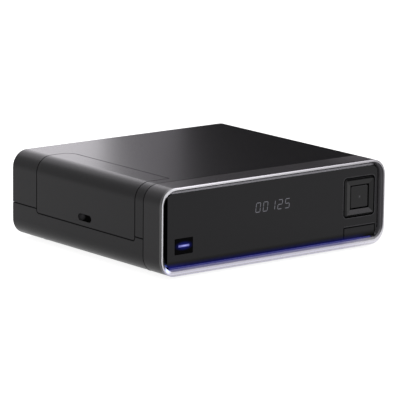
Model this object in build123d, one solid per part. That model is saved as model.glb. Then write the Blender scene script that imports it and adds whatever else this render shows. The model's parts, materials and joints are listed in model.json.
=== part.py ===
"""Media player with a hard drive drawer: one desktop casing and everything inside it.

Frame: +Z up, the front faces -Y, the drawer pulls out towards -X.
The origin is the centre of the footprint, on the surface that the rubber feet stand on.
All lengths are in millimetres.
"""
from build123d import *
from math import radians, sin
import os

# ------------------------------------------------------------------ driving dimensions
# Casing
body_w = 228.5  # left to right
body_d = 200.0  # front to back
body_h = 70.0  # without the feet
corner_r = 13.7  # outer radius along the four long edges
wall = 2.0
seam_h = 27.5  # height of the seam between base and cover
seam_gap = 0.5
lip_t = 1.2  # inner lip that backs each seam
lip_reach = 3.0
lip_gap = 0.1
collar_d = 23.5  # depth of the front collar
collar_wall = 2.4
foot_h = 2.5
foot_r = 9.0
foot_recess = 0.5
foot_in = 26.0  # centre of a foot from the side of the casing
foot_front = 38.0  # centre behind the front plane
foot_rear_in = 22.0  # centre in front of the rear edge

# Fits
pin_gap = 0.05  # radial clearance of a pin in its bore
slide_gap = 0.1  # flat runner on its rail
free_gap = 0.3  # moving piece beside its surroundings
screw_gap = 0.02  # thread in its boss

# Front trim ring and panel
ring_d = 2.8
ring_lip = 1.8
ring_sill = 3.9
sill_rise = 1.4
ring_chamfer = 0.7
panel_face = 3.2  # panel face behind the ring's front plane
panel_t = 3.0
panel_inset_x = 3.6
panel_low = 6.2
panel_top_in = 3.6
panel_bevel = 1.3
panel_roll = 2.8  # radius of the window's left and right front edges
bulkhead_t = 2.0
light_bar_h = 1.3
bar_gap = 0.1  # light bar under the panel

# Front keys
key_travel = 0.6
key_flange = 1.5
key_flange_t = 1.2
key_proud = 0.2
power_in = 24.2  # centre from the left side
power_h = 22.6
power_stem = 5.0
power_stem_drop = 2.0
power_w = 17.4
power_tall = 12.2
lamp_w = 10.6
lamp_tall = 1.9
pad_in = 25.15  # centre from the right side
pad_h = 40.5
pad_size = 31.4
pad_corner = 2.6
pad_bevel = 1.9
pad_ridge = 1.2  # how far the ridge stands proud of the panel
pad_dish = 0.9
pad_bore = 19.0
pad_hole_gap = 0.8
pad_tilt = 1.8  # degrees each way
ok_size = 18.0
ok_corner = 1.2
gimbal_bar = 2.3
gimbal_t = 2.0
gimbal_back = 8.6  # tilt axes behind the front plane
trunnion_r = 0.8
lug_t = 2.5
lug_w = 4.6
lug_end = 10.1  # rear of the lugs behind the front plane
nav_shift = 5.6  # switch posts beside the lugs

# Port flap at the lower right of the panel
flap_in = 24.45  # centre from the right side
flap_w = 32.7
flap_low = 6.4
flap_high = 16.0
flap_t = 2.0
flap_gap = 0.35
flap_barrel_r = 1.2
flap_pin_r = 0.4
flap_pin_bite = 1.6
usb_h = 12.0  # centre of the port behind the flap

# Front board and what it carries
board_t = 1.6
front_board_back = 14.0
front_board_in = 10.2  # from each side of the casing
front_board_low = 8.0
front_board_top_in = 8.0
boss_r = 2.8
boss_in = 15.2  # left bosses from the left side
boss_low = 11.0
boss_top_in = 13.0
boss_middle_x = -40.0
boss_from_pad = 29.1
display_x = -2.5
display_h = 43.9
display_w = 64.0
display_tall = 20.0
display_t = 5.5
switch_size = 6.0
switch_body_t = 3.5
switch_plunger_r = 1.75
switch_plunger_t = 0.8
eye_x = 45.0
eye_h = 44.0
eye_r = 3.0

# Drawer hatch, which wraps from the left side over the shoulder onto the top
hatch_from_collar = 11.0  # front edge behind the collar's rear edge
hatch_len = 132.0
hatch_low = 24.0
hatch_top_w = 33.5  # from the left side to the hatch's long edge on top
hatch_gap = 0.5
hatch_rear_r = 9.0
hatch_front_r = 0.8
hatch_low_r = 2.5
sill_reach = 1.5
scoop_len = 17.5
scoop_tall = 5.8
scoop_d = 3.6
scoop_round = 2.6
scoop_h = 31.0
scoop_pad = 1.6
peg_r = 2.2
peg_y = 45.0
peg_low = 36.0
peg_high = 54.0

# Hard drive (3.5 inch form factor) and its drawer
drive_l = 147.0
drive_w = 101.6
drive_t = 26.1
drive_screw_from_plug = (28.5, 130.1)
drive_screw_h = 6.35
drive_screw_r = 1.7
drive_lid_t = 1.2
drive_plug_w = 40.0
drive_recess_in = 30.0  # recess for the drive's board, from its front end
plug_d = 8.0
plug_tall = 6.6
tray_floor_t = 1.5
tray_side_t = 1.5
tray_side_gap = 2.0  # between the drive and the drawer's side, filled by bosses
tray_side_tall = 20.0
tray_face_t = 2.5
tray_face_tall = 31.0
tray_face_gap = 4.2  # behind the inside of the hatch
pull_w = 34.0  # finger slot in the drawer's face
pull_tall = 11.0
pull_h = 48.3
drive_gap = 1.3

# Bay that guides the drawer
bay_t = 1.2
bay_h = 27.0
bay_side_tall = 24.0
bay_runner_w = 13.0
bay_back_tall = 34.0
bay_post_r = 3.5
bay_post_in = (18.0, 3.0)  # from the drawer's face and from the back wall
bay_post_out = 4.2  # beyond the bay's side
bay_back_gap = 4.0  # back wall behind the drive
plug_gap = 0.4
plug_in = 2.8  # near end of the drive's plug from the drive's side

# Ribbon cable between the boards
ribbon_x = -40.0
ribbon_w = 18.0
ribbon_t = 0.6
ribbon_high = 16.0
ribbon_low = 2.5  # above the main board
ribbon_inset = 6.0
ribbon_socket_d = 4.0
ribbon_socket_w = 22.0
ribbon_socket_tall = 5.0

# Main board
main_board_left_in = 18.2
main_board_right_in = 16.2
main_board_front = 30.0
main_board_rear_in = 6.0
main_board_h = 6.0
standoff_r = 3.0
standoff_front = 6.0  # from the board's front edge
standoff_rear = 22.0  # from its rear edge
standoff_left = 16.0  # from its left side
standoff_right = 10.0  # from its right side
case_post_r = 3.2
case_post_in = 10.0  # from the side of the casing
case_post_gap = 0.3  # rear posts from the hatch's gap
case_head_r = 2.3
case_head_deep = 4.0
case_screw_top = 42.0
screw_r = 1.25
screw_head_r = 2.7
screw_head_t = 1.7
chip_x = -20.0
chip_back = 80.0
chip_size = 31.0
chip_t = 2.2
memory_places = ((18.0, 66.0), (18.0, 82.0), (18.0, 98.0), (-56.0, 82.0))
capacitor_places = (
    (-84.0, 136.0), (-74.0, 136.0), (-64.0, 136.0),
    (72.0, 130.0), (72.0, 142.0), (84.0, 130.0),
)
sink_size = 42.0
sink_base_t = 2.5
sink_tall = 11.0
sink_fins = 9
sink_fin_t = 1.4

# Rear panel, its sockets and its fan
rear_recess = 1.0
jack_out = 5.0  # phono sleeves behind the casing's rear edge
rear_t = 2.0
socket_gap = 0.3
socket_proud = 0.8
fan_in = 28.2  # centre from the right side
fan_h = 37.5
fan_size = 40.0
fan_t = 10.0
fan_bore_r = 19.0
fan_pitch = 32.0
fan_hub_r = 9.5
fan_blades = 7
fan_blade_turn = 38.0
fan_shaft_r = 1.5
socket_lift = 0.2  # socket bodies above the board
dc_in = 30.2  # each socket's centre from the left side
dc_w = 9.0
dc_tall = 11.2
optical_in = 46.2
optical_w = 9.8
optical_tall = 10.2
rca_in = 76.2
rca_pitch = 14.0
rca_sleeve_r = 4.15
rca_rise = 6.4  # sleeve centres above the board
hdmi_in = 106.2
hdmi_w = 15.6
hdmi_tall = 6.2
lan_in = 126.8
lan_w = 16.0
lan_tall = 13.5
usb_in = 147.2
usb_w = 14.5
usb_tall = 7.1
usb_apart = 1.2
esata_in = 166.2
esata_w = 14.5
esata_tall = 6.4
rear_block_d = 7.0
rear_block_size = 8.0
rear_screw_in = 11.2
rear_screw_low = 12.0
rear_screw_top_in = 6.0
rear_screw_top_x = 45.0

# ------------------------------------------------------------------ derived places
x_left = -body_w / 2
x_right = body_w / 2
y_front = -(body_d + jack_out) / 2
y_rear = y_front + body_d
z_bot = foot_h
z_top = foot_h + body_h


def back(depth):
    """Y of a plane that lies this far behind the front plane."""
    return y_front + depth


def high(height):
    """Z of a plane that lies this far above the underside of the casing."""
    return z_bot + height


split_y = back(collar_d + seam_gap)
z_seam = high(seam_h)
rear_in = y_rear - rear_recess - rear_t
rear_out = y_rear - rear_recess
panel_back = panel_face + panel_t
bulkhead_back = panel_back + bulkhead_t
switch_tip = front_board_back - switch_body_t - switch_plunger_t
key_stem_end = switch_tip - key_travel - slide_gap
power_x = x_left + power_in
pad_x = x_right - pad_in
flap_x = x_right - flap_in
flap_axis = panel_face + flap_barrel_r
fan_x = x_right - fan_in
foot_x = body_w / 2 - foot_in
foot_y = (back(foot_front), y_rear - foot_rear_in)
panel_high = body_h - panel_top_in
front_board_high = body_h - front_board_top_in
front_boss = [(x_left + boss_in, boss_low), (x_left + boss_in, body_h - boss_top_in)]
front_boss += [(boss_middle_x, body_h - boss_top_in)]
front_boss += [(pad_x - boss_from_pad, boss_low), (pad_x - boss_from_pad, body_h - boss_top_in)]
gimbal_half = pad_bore / 2 + gimbal_bar
ear_front = panel_back + (pad_size / 2 + 2.0) * sin(radians(pad_tilt)) + slide_gap
nav_reach = pad_size / 2 - lug_t / 2 - 0.6  # rocker's four posts from its centre
nav_posts = [
    (pad_x - nav_shift, pad_h + nav_reach),
    (pad_x + nav_shift, pad_h - nav_reach),
    (pad_x - nav_reach, pad_h - nav_shift),
    (pad_x + nav_reach, pad_h + nav_shift),
]
hatch_front = collar_d + hatch_from_collar
hatch_x = x_left + hatch_top_w
main_board_x = (x_left + main_board_left_in, x_right - main_board_right_in)
main_board_y = (back(main_board_front), y_rear - main_board_rear_in)
standoffs = [
    (x, y)
    for y in (main_board_y[0] + standoff_front, main_board_y[1] - standoff_rear)
    for x in (main_board_x[0] + standoff_left, 0.0, main_board_x[1] - standoff_right)
]
chip_y = back(chip_back)
hatch_y = (back(hatch_front), back(hatch_front + hatch_len))
case_post_y = (
    (back(collar_d + seam_gap + lip_reach) + hatch_y[0] - hatch_gap) / 2,
    hatch_y[1] + hatch_gap + case_post_gap + case_post_r,
)
case_posts = [(side * (body_w / 2 - case_post_in), y) for y in case_post_y for side in (-1, 1)]
bay_y = (hatch_y[0] + hatch_y[1]) / 2
board_top = main_board_h + board_t
tray_floor_h = bay_h + bay_t + slide_gap
drive_h = tray_floor_h + tray_floor_t
tray_half_w = drive_w / 2 + tray_side_gap + tray_side_t
tray_x = x_left + wall + tray_face_gap
drive_x = (tray_x + tray_face_t + drive_gap, tray_x + tray_face_t + drive_gap + drive_l)
bay_half_w = tray_half_w + free_gap
bay_back_x = drive_x[1] + bay_back_gap
bay_post_x = (tray_x + bay_post_in[0], bay_back_x - bay_post_in[1])
bay_post_y = bay_half_w + bay_t + bay_post_out
plug_y = (bay_y - drive_w / 2 + plug_in, bay_y - drive_w / 2 + plug_in + drive_plug_w)
ribbon_end = main_board_y[0] + ribbon_inset
dc_x = x_left + dc_in
optical_x = x_left + optical_in
rca_x = x_left + rca_in
hdmi_x = x_left + hdmi_in
lan_x = x_left + lan_in
usb_x = x_left + usb_in
esata_x = x_left + esata_in
rca_places = [rca_x + rca_pitch * i for i in (-1, 0, 1)]
rca_h = board_top + rca_rise
rear_holes = (
    (dc_x, dc_w, dc_tall),
    (optical_x, optical_w, optical_tall),
    (hdmi_x, hdmi_w, hdmi_tall),
    (lan_x, lan_w, lan_tall),
    (usb_x, usb_w, 2 * usb_tall + usb_apart),
    (esata_x, esata_w, esata_tall),
)
rear_screws_base = [(side * (body_w / 2 - rear_screw_in), rear_screw_low) for side in (-1, 1)]
rear_screws_cover = [(side * rear_screw_top_x, body_h - rear_screw_top_in) for side in (-1, 1)]


# ------------------------------------------------------------------ shape helpers
def block(x, y, z):
    """Box between three (low, high) pairs."""
    size = Box(x[1] - x[0], y[1] - y[0], z[1] - z[0])
    return Pos((x[0] + x[1]) / 2, (y[0] + y[1]) / 2, (z[0] + z[1]) / 2) * size


def about(centre, size):
    """(low, high) pair centred on a value."""
    return (centre - size / 2, centre + size / 2)


def rod_x(radius, y, z, span):
    """Cylinder along X."""
    return Pos((span[0] + span[1]) / 2, y, z) * Rot(0, 90, 0) * Cylinder(radius, span[1] - span[0])


def rod_y(radius, x, z, span):
    """Cylinder along Y."""
    return Pos(x, (span[0] + span[1]) / 2, z) * Rot(90, 0, 0) * Cylinder(radius, span[1] - span[0])


def rod_z(radius, x, y, span):
    """Cylinder along Z."""
    return Pos(x, y, (span[0] + span[1]) / 2) * Cylinder(radius, span[1] - span[0])


def plate_y(x, z, radius, y):
    """Plate with rounded corners in XZ, thick along Y."""
    plane = Plane((0, y[0], 0), x_dir=(1, 0, 0), z_dir=(0, -1, 0))
    outline = Pos(sum(x) / 2, sum(z) / 2) * RectangleRounded(x[1] - x[0], z[1] - z[0], radius)
    return extrude(plane * outline, amount=-(y[1] - y[0]))


def plate_x(y, z, radius, x):
    """Plate with rounded corners in YZ, thick along X."""
    plane = Plane((x[0], 0, 0), x_dir=(0, 1, 0), z_dir=(1, 0, 0))
    outline = Pos(sum(y) / 2, sum(z) / 2) * RectangleRounded(y[1] - y[0], z[1] - z[0], radius)
    return extrude(plane * outline, amount=x[1] - x[0])


def plate_z(x, y, radius, z):
    """Plate with rounded corners in XY, thick along Z."""
    outline = Pos(sum(x) / 2, sum(y) / 2) * RectangleRounded(x[1] - x[0], y[1] - y[0], radius)
    return extrude(Plane((0, 0, z[0])) * outline, amount=z[1] - z[0])


def front_edges(solid):
    """Outer edges of the face that lies furthest forward."""
    return solid.faces().sort_by(Axis.Y)[0].outer_wire().edges()


def casing(y, inset=0.0):
    """Solid bar with the casing's rounded section, its sides moved in by inset."""
    x = (x_left + inset, x_right - inset)
    z = (z_bot + inset, z_top - inset)
    return plate_y(x, z, corner_r - inset, y)


def shell(y, outer, inner):
    """Tube with the casing's section between two insets."""
    return casing(y, outer) - casing(y, inner)


def below(z):
    """Half space under a height, as a large block."""
    return block((-body_w, body_w), (-body_d, body_d), (-body_h, z))


def above(z):
    """Half space over a height, as a large block."""
    return block((-body_w, body_w), (-body_d, body_d), (z, 2 * body_h))


def screw(x, y, z_head, length, radius=screw_r, head_r=screw_head_r, head_t=screw_head_t):
    """Upright screw whose head rests on z_head, with its shank going down."""
    head = rod_z(head_r, x, y, (z_head, z_head + head_t))
    slot = block(about(x, 2 * head_r), about(y, 0.6), (z_head + head_t - 0.6, z_head + head_t))
    return head - slot + rod_z(radius, x, y, (z_head - length, z_head))


def group(solids):
    """Separate solids that share one node."""
    return Compound(children=list(solids))


# ------------------------------------------------------------------ casing pieces
def hatch_zone(grow):
    """Space of the drawer hatch, from the left side over the shoulder, grown on every edge."""
    x = (x_left - wall, hatch_x + grow)
    y = (hatch_y[0] - grow, hatch_y[1] + grow)
    z = (high(hatch_low) - grow, z_top + wall)
    plan = block(x, y, z)
    rear_corner = plan.edges().filter_by(Axis.Z).sort_by(Axis.Y)[2:].sort_by(Axis.X)[1:]
    plan = plan.fillet(hatch_rear_r + grow, rear_corner)
    front_corner = plan.edges().filter_by(Axis.Z).sort_by(Axis.Y)[:2].sort_by(Axis.X)[1:]
    plan = plan.fillet(hatch_front_r + grow, front_corner)
    side = plate_x(y, (z[0], z[1] + 4 * wall), hatch_low_r + grow, (x[0], x[1] + wall))
    return plan & side


def hatch_lip():
    """Band behind the hatch's seam, which backs its front, rear and top edges."""
    ends = (hatch_y[0] - lip_reach, hatch_y[1] + lip_reach)
    inner = (hatch_y[0] + lip_reach, hatch_y[1] - lip_reach)
    x = (x_left - wall, hatch_x + lip_reach)
    band = block(x, ends, (z_seam, z_top)) - block((x[0], hatch_x - lip_reach), inner, (z_bot, z_top))
    root = shell(ends, wall - lip_t, wall + lip_t) - hatch_zone(hatch_gap)
    tongue = shell(ends, wall + lip_gap, wall + lip_t)
    return band & (root + tongue)


def seam_lip(y, low, edge, top):
    """Lip inside the side walls that stands on the wall up to edge and reaches to top."""
    root = shell(y, wall - lip_t, wall + lip_t) & above(low) & below(edge)
    tongue = shell(y, wall + lip_gap, wall + lip_t) & above(edge) & below(top)
    return root + tongue


def rear_block(x, height, reach_x, reach_z):
    """Block on the inside of a wall, out to reach, that takes one screw of the rear panel."""
    span = (rear_in - rear_block_d, rear_in)
    half = rear_block_size / 2
    block_x = (min(x - half, reach_x), max(x + half, reach_x))
    body = block(block_x, span, (high(height) - half, max(high(height) + half, reach_z)))
    body &= casing(span, wall / 2)
    return body - rod_y(screw_r + screw_gap, x, high(height), (span[0] - 1, span[1] + 1))


def base_shell():
    """Lower half of the casing with its posts, standoffs and air slots."""
    edge = z_seam - seam_gap / 2
    y = (split_y, y_rear)
    lip_y = (back(collar_d + 2 * lip_reach), rear_in - lip_gap)
    body = (shell(y, 0, wall) & below(edge)) - hatch_zone(hatch_gap)
    lip = seam_lip(lip_y, z_seam - lip_reach, edge, z_seam + lip_reach)
    body += lip - block((-body_w, 0), (y[0] - 1, hatch_y[1] + lip_reach), (0, z_top))
    sill_edge = high(hatch_low) - hatch_gap
    sill = seam_lip(hatch_y, sill_edge - lip_reach, sill_edge, high(hatch_low) + sill_reach)
    body += sill & block((-body_w, 0), hatch_y, (0, z_top))
    for x, y_post in case_posts:
        body += rod_z(case_post_r, x, y_post, (high(wall / 2), z_seam)) & casing(y, wall / 2)
    for x in bay_post_x:
        for side in (-1, 1):
            body += rod_z(bay_post_r, x, bay_y + side * bay_post_y, (high(wall / 2), high(bay_h)))
    for x, y_post in standoffs:
        body += rod_z(standoff_r, x, y_post, (high(wall / 2), high(main_board_h)))
    for x, y_post in case_posts:
        body -= rod_z(screw_r + 0.3, x, y_post, (z_bot - 1, z_seam + 1))
        body -= rod_z(case_head_r + 0.3, x, y_post, (z_bot - 1, high(case_head_deep)))
    for x in bay_post_x:
        for side in (-1, 1):
            hole = (high(bay_h - 8), high(bay_h + 1))
            body -= rod_z(screw_r + screw_gap, x, bay_y + side * bay_post_y, hole)
    for x, y_post in standoffs:
        body -= rod_z(screw_r + screw_gap, x, y_post, (high(wall / 2 + 0.5), high(main_board_h + 1)))
    for x, height in rear_screws_base:
        body += rear_block(x, height, x_left if x < 0 else x_right, high(height))
    for x in (-foot_x, foot_x):
        for y_foot in foot_y:
            body -= rod_z(foot_r + lip_gap, x, y_foot, (z_bot - 1, high(foot_recess)))
    for row in range(-2, 3):
        for column in range(9):
            slot_x = about(-48.0 + 12.0 * column, 3.0)
            slot_y = about(back(112.0 + 16.0 * row), 11.0)
            body -= plate_z(slot_x, slot_y, 1.4, (z_bot - 1, high(wall + 1)))
    return body


def top_cover():
    """Upper half of the casing, open where the drawer hatch sits."""
    edge = z_seam + seam_gap / 2
    y = (split_y, y_rear)
    body = (shell(y, 0, wall) & above(edge)) - hatch_zone(hatch_gap)
    body += hatch_lip() & above(edge + lip_reach + lip_gap)
    for x, y_post in case_posts:
        post = rod_z(case_post_r, x, y_post, (z_seam, z_top)) & casing(y, wall / 2)
        body += post - rod_z(screw_r + screw_gap, x, y_post, (z_seam - 1, high(case_screw_top + 2.0)))
    for x, height in rear_screws_cover:
        body += rear_block(x, height, x, z_top)
    rib_x = (hatch_x + 2 * lip_reach, x_right - wall / 2)
    for i in (1, 2, 3):
        rib_y = about(back(body_d * i / 4), lip_t)
        body += block(rib_x, rib_y, (z_top - wall - 3.0, z_top - wall / 2)) & casing(y, wall / 2)
    return body


def rubber_feet():
    """Four round feet set into the base."""
    feet = []
    for x in (-foot_x, foot_x):
        for y in foot_y:
            foot = rod_z(foot_r, x, y, (0, high(foot_recess)))
            feet.append(foot.chamfer(0.6, None, foot.edges().sort_by(Axis.Z)[:1]))
    return group(feet)


def case_screws():
    """Four screws that hold the cover to the base from below."""
    screws = []
    for x, y in case_posts:
        head_z = (high(case_head_deep - screw_head_t), high(case_head_deep))
        head = rod_z(case_head_r, x, y, head_z)
        shank = rod_z(screw_r, x, y, (head_z[1], high(case_screw_top)))
        slot = block(about(x, 2 * case_head_r), about(y, 0.6), (head_z[0], head_z[0] + 0.6))
        screws.append(head - slot + shank)
    return group(screws)


# ------------------------------------------------------------------ front
def front_trim_ring():
    """Bright metal ring around the front, with a deeper sill along its lower edge."""
    y = (y_front, back(ring_d))
    ring = casing(y)
    ring = ring.chamfer(ring_chamfer, None, front_edges(ring))
    x_open = (x_left + ring_lip, x_right - ring_lip)
    z_open = (high(ring_sill), z_top - ring_lip)
    ring -= plate_y(x_open, z_open, corner_r - ring_lip, (y[0] - 1, y[1] + 1))
    slope = Polyline(
        (y[0], high(ring_sill)),
        (y[1], high(ring_sill + sill_rise)),
        (y[1], high(ring_chamfer)),
        (y[0], high(ring_chamfer)),
        close=True,
    )
    sill_x = x_right - corner_r / 2
    sill = Pos(-sill_x, 0, 0) * extrude(Plane.YZ * make_face(slope), amount=2 * sill_x)
    return ring + (sill & casing(y, ring_chamfer))


def key_hole(x, height, width, tall, radius, y):
    """Opening for a key, from its own size plus clearance."""
    return plate_y(about(x, width), about(high(height), tall), radius, y)


def front_collar():
    """Deep collar behind the ring, with the bulkhead that backs the panel."""
    y = (back(ring_d), back(collar_d))
    body = shell(y, 0, collar_wall)
    lap = (back(collar_d - lip_reach), back(collar_d + seam_gap + lip_reach))
    body += shell((lap[0], y[1]), collar_wall - lip_t, wall + lip_t + lip_gap)
    body += shell((y[1], lap[1]), wall + lip_gap, wall + lip_t)
    body += casing((back(panel_back), back(bulkhead_back)), wall)
    sill_z = (z_bot, high(panel_low - bar_gap - light_bar_h))
    body += block((x_left, x_right), (y[0], back(bulkhead_back)), sill_z) & casing(y, wall / 2)
    through = (back(panel_back) - 1, back(bulkhead_back) + 1)
    flange = 2 * (key_flange + free_gap)
    body -= key_hole(power_x, power_h, power_w + flange, power_tall + flange, 1.0, through)
    body -= key_hole(pad_x, pad_h, pad_size + 2.0, pad_size + 2.0, 2.0, through)
    body -= key_hole(display_x, display_h, display_w + 1.0, display_tall + 1.0, 1.0, through)
    body -= rod_y(eye_r + 0.6, eye_x, high(eye_h), through)
    body -= key_hole(flap_x, usb_h, usb_w + 1.0, usb_tall + 1.0, 1.0, through)
    boss_y = (back(bulkhead_back - 0.5), back(front_board_back))
    for x, height in front_boss:
        body += rod_y(boss_r, x, high(height), boss_y)
        body -= rod_y(screw_r + screw_gap, x, high(height), (boss_y[0] + 1.5, boss_y[1] + 1))
    for side in (-1, 1):
        x = (pad_x + side * (gimbal_half + free_gap), pad_x + side * (pad_size / 2 + 2.0))
        ear = block((min(x), max(x)), (back(ear_front), back(gimbal_back + 1.7)), about(high(pad_h), lug_w))
        body += ear
        body -= rod_x(trunnion_r + pin_gap, back(gimbal_back), high(pad_h), (min(x) - 1, max(x) + 1))
    return body


def front_panel():
    """Gloss window with openings for the keys and the port flap."""
    x = (x_left + panel_inset_x, x_right - panel_inset_x)
    y = (back(panel_face), back(panel_back))
    panel = plate_y(x, (high(panel_low), high(panel_high)), corner_r - panel_inset_x, y)
    panel = panel.chamfer(panel_bevel, None, front_edges(panel))
    through = (y[0] - 1, y[1] + 1)
    rolled = block(x, (y[0], through[1]), (z_bot, z_top))
    panel &= rolled.fillet(panel_roll, rolled.edges().filter_by(Axis.Z).group_by(Axis.Y)[0])
    panel -= key_hole(power_x, power_h, power_w + 2 * free_gap, power_tall + 2 * free_gap, 0.8, through)
    hole = pad_size + 2 * pad_hole_gap
    panel -= key_hole(pad_x, pad_h, hole, hole, pad_corner + pad_hole_gap, through)
    flap_z = (high(panel_low - 2), high(flap_high + flap_gap))
    panel -= block(about(flap_x, flap_w + 2 * flap_gap), through, flap_z)
    pin_x = about(flap_x, flap_w + 2 * flap_gap + 2 * (flap_pin_bite + 0.2))
    panel -= rod_x(flap_pin_r + pin_gap, back(flap_axis), high(flap_low + flap_barrel_r), pin_x)
    return panel


def light_bar():
    """Clear strip under the panel that lights the ring's sill."""
    x = (x_left + corner_r - 2.0, x_right - corner_r + 2.0)
    z = (high(panel_low - bar_gap - light_bar_h), high(panel_low - bar_gap))
    return block(x, (back(panel_face + 0.4), back(panel_back)), z)


def power_button():
    """Power key: cap, retaining flange and stem, slotted for its lamp."""
    cap_y = (back(panel_face - key_proud), back(panel_back + 0.2))
    cap = key_hole(power_x, power_h, power_w, power_tall, 0.5, cap_y)
    cap = cap.chamfer(0.3, None, front_edges(cap))
    flange_w = power_w + 2 * key_flange
    flange_y = (back(panel_back + slide_gap), back(panel_back + slide_gap + key_flange_t))
    cap += key_hole(power_x, power_h, flange_w, power_tall + 2 * key_flange, 1.0, flange_y)
    stem_y = (flange_y[0], back(key_stem_end))
    cap += key_hole(power_x, power_h - power_stem_drop, power_stem, power_stem, 0.5, stem_y)
    return cap - lamp_bar(screw_gap)


def lamp_bar(grow):
    """Lit bar of the power key, or the slot that holds it when grown."""
    front = panel_face - key_proud - grow
    depth = panel_face + panel_t / 2 + grow
    y = (back(front), back(depth))
    return key_hole(power_x, power_h + 0.3, lamp_w + 2 * grow, lamp_tall + 2 * grow, 0.5 + grow, y)


def nav_ring():
    """Four-way rocker: a square frame with bevelled outside and a dished face, on two lugs."""
    half = pad_size / 2
    face = panel_face - pad_ridge
    y = (back(face), back(panel_back))
    ring = key_hole(pad_x, pad_h, pad_size, pad_size, pad_corner, y)
    ring = ring.chamfer(pad_bevel, pad_bevel * 0.8, front_edges(ring))
    inner = pad_bore / 2
    dish = Pos(pad_x, back(face), high(pad_h)) * Rot(90, 0, 0) * loft(
        [
            Pos(0, 0, 0) * Rectangle(2 * (half - pad_bevel), 2 * (half - pad_bevel)),
            Pos(0, 0, -pad_dish) * Rectangle(2 * inner, 2 * inner),
        ]
    )
    ring -= dish
    ring -= key_hole(pad_x, pad_h, pad_bore, pad_bore, ok_corner + 0.5, (y[0] - 1, y[1] + 1))
    lug_z = gimbal_half + free_gap
    for side in (-1, 1):
        z = (high(pad_h) + side * lug_z, high(pad_h) + side * (lug_z + lug_t))
        ring += block(about(pad_x, lug_w), (y[1] - 1, back(lug_end)), (min(z), max(z)))
        ring -= rod_z(trunnion_r + pin_gap, pad_x, back(gimbal_back), (min(z) - 0.2, max(z) + 1))
    for x, height in nav_posts:
        ring += block(about(x, lug_t), (y[1] - 1, back(key_stem_end)), about(high(height), lug_t))
    return ring


def nav_gimbal():
    """Square frame behind the rocker, pivoted in the collar and carrying the rocker's lugs."""
    y = about(back(gimbal_back), gimbal_t)
    frame = key_hole(pad_x, pad_h, 2 * gimbal_half, 2 * gimbal_half, 1.0, y)
    frame -= key_hole(pad_x, pad_h, pad_bore, pad_bore, 0.6, (y[0] - 1, y[1] + 1))
    for side in (-1, 1):
        x = (pad_x + side * (gimbal_half - 1), pad_x + side * (gimbal_half + 2.6))
        frame += rod_x(trunnion_r, back(gimbal_back), high(pad_h), (min(x), max(x)))
        z = (high(pad_h) + side * (gimbal_half - 1), high(pad_h) + side * (gimbal_half + lug_t))
        frame += rod_z(trunnion_r, pad_x, back(gimbal_back), (min(z), max(z)))
    return frame


def ok_button():
    """Centre key inside the rocker, with a small raised dot."""
    y = (back(panel_face - pad_ridge + pad_dish), back(panel_back + 0.2))
    cap = key_hole(pad_x, pad_h, ok_size, ok_size, ok_corner, y)
    cap = cap.chamfer(0.4, None, front_edges(cap))
    dot = Pos(pad_x, y[0] + 1.0, high(pad_h)) * Sphere(1.3)
    cap += dot
    stem = key_hole(pad_x, pad_h, 7.0, 7.0, 0.5, (y[1] - 1, back(key_stem_end)))
    return cap + stem


def usb_flap():
    """Drop-down flap over the front port, with a barrel along its lower edge."""
    x = about(flap_x, flap_w)
    axis_y = back(flap_axis)
    axis_z = high(flap_low + flap_barrel_r)
    leaf = block(x, (back(panel_face), back(panel_face + flap_t)), (axis_z, high(flap_high)))
    leaf += rod_x(flap_barrel_r, axis_y, axis_z, x)
    return leaf - rod_x(flap_pin_r + pin_gap, axis_y, axis_z, (x[0] - 1, x[1] + 1))


def flap_pin():
    """Steel pin that runs through the flap's barrel into the panel at both ends."""
    x = about(flap_x, flap_w + 2 * flap_gap + 2 * flap_pin_bite)
    return rod_x(flap_pin_r, back(flap_axis), high(flap_low + flap_barrel_r), x)


def usb_port(x, height, y, mouth=-1):
    """Type A socket: sheet shell, tongue and open mouth facing the front (-1) or the rear (1)."""
    shell_box = block(about(x, usb_w), y, about(high(height), usb_tall))
    cavity = (y[0] - 1, y[1] - 3.0) if mouth < 0 else (y[0] + 3.0, y[1] + 1)
    shell_box -= block(about(x, usb_w - 1.4), cavity, about(high(height), usb_tall - 1.4))
    tongue = (y[0] + 1.0, y[1] - 1.0)
    return shell_box + block(about(x, 11.1), tongue, (high(height) + 0.1, high(height) + 1.9))


def front_usb_port():
    """Port behind the flap, let into the front board."""
    return usb_port(flap_x, usb_h, (back(panel_back + 0.2), back(front_board_back + 6.0)))


def front_board():
    """Circuit board behind the panel for the keys, the display and the receiver."""
    y = (back(front_board_back), back(front_board_back + board_t))
    x = (x_left + front_board_in, x_right - front_board_in)
    board = block(x, y, (high(front_board_low), high(front_board_high)))
    for x, height in front_boss:
        board -= rod_y(screw_r + 0.2, x, high(height), (y[0] - 1, y[1] + 1))
    board -= block(about(flap_x, usb_w + 0.4), (y[0] - 1, y[1] + 1), about(high(usb_h), usb_tall + 0.4))
    return board


def front_screws():
    """Screws that hold the front board to the collar."""
    screws = []
    head_y = back(front_board_back + board_t)
    for x, height in front_boss:
        head = rod_y(screw_head_r, x, high(height), (head_y, head_y + screw_head_t))
        shank = rod_y(screw_r, x, high(height), (back(bulkhead_back + 1.5), head_y))
        slot = block(about(x, 2 * screw_head_r), (head_y + screw_head_t - 0.6, head_y + 2 * screw_head_t),
                     about(high(height), 0.6))
        screws.append(head - slot + shank)
    return group(screws)


def display_module():
    """Segment display: glass cell on a frame, standing on the front board."""
    y1 = back(front_board_back)
    frame = key_hole(display_x, display_h, display_w, display_tall, 0.5, (y1 - display_t + 1.5, y1))
    glass_y = (y1 - display_t, y1 - 1.0)
    glass = key_hole(display_x, display_h, display_w - 4.0, display_tall - 4.0, 0.5, glass_y)
    return frame + glass


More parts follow.
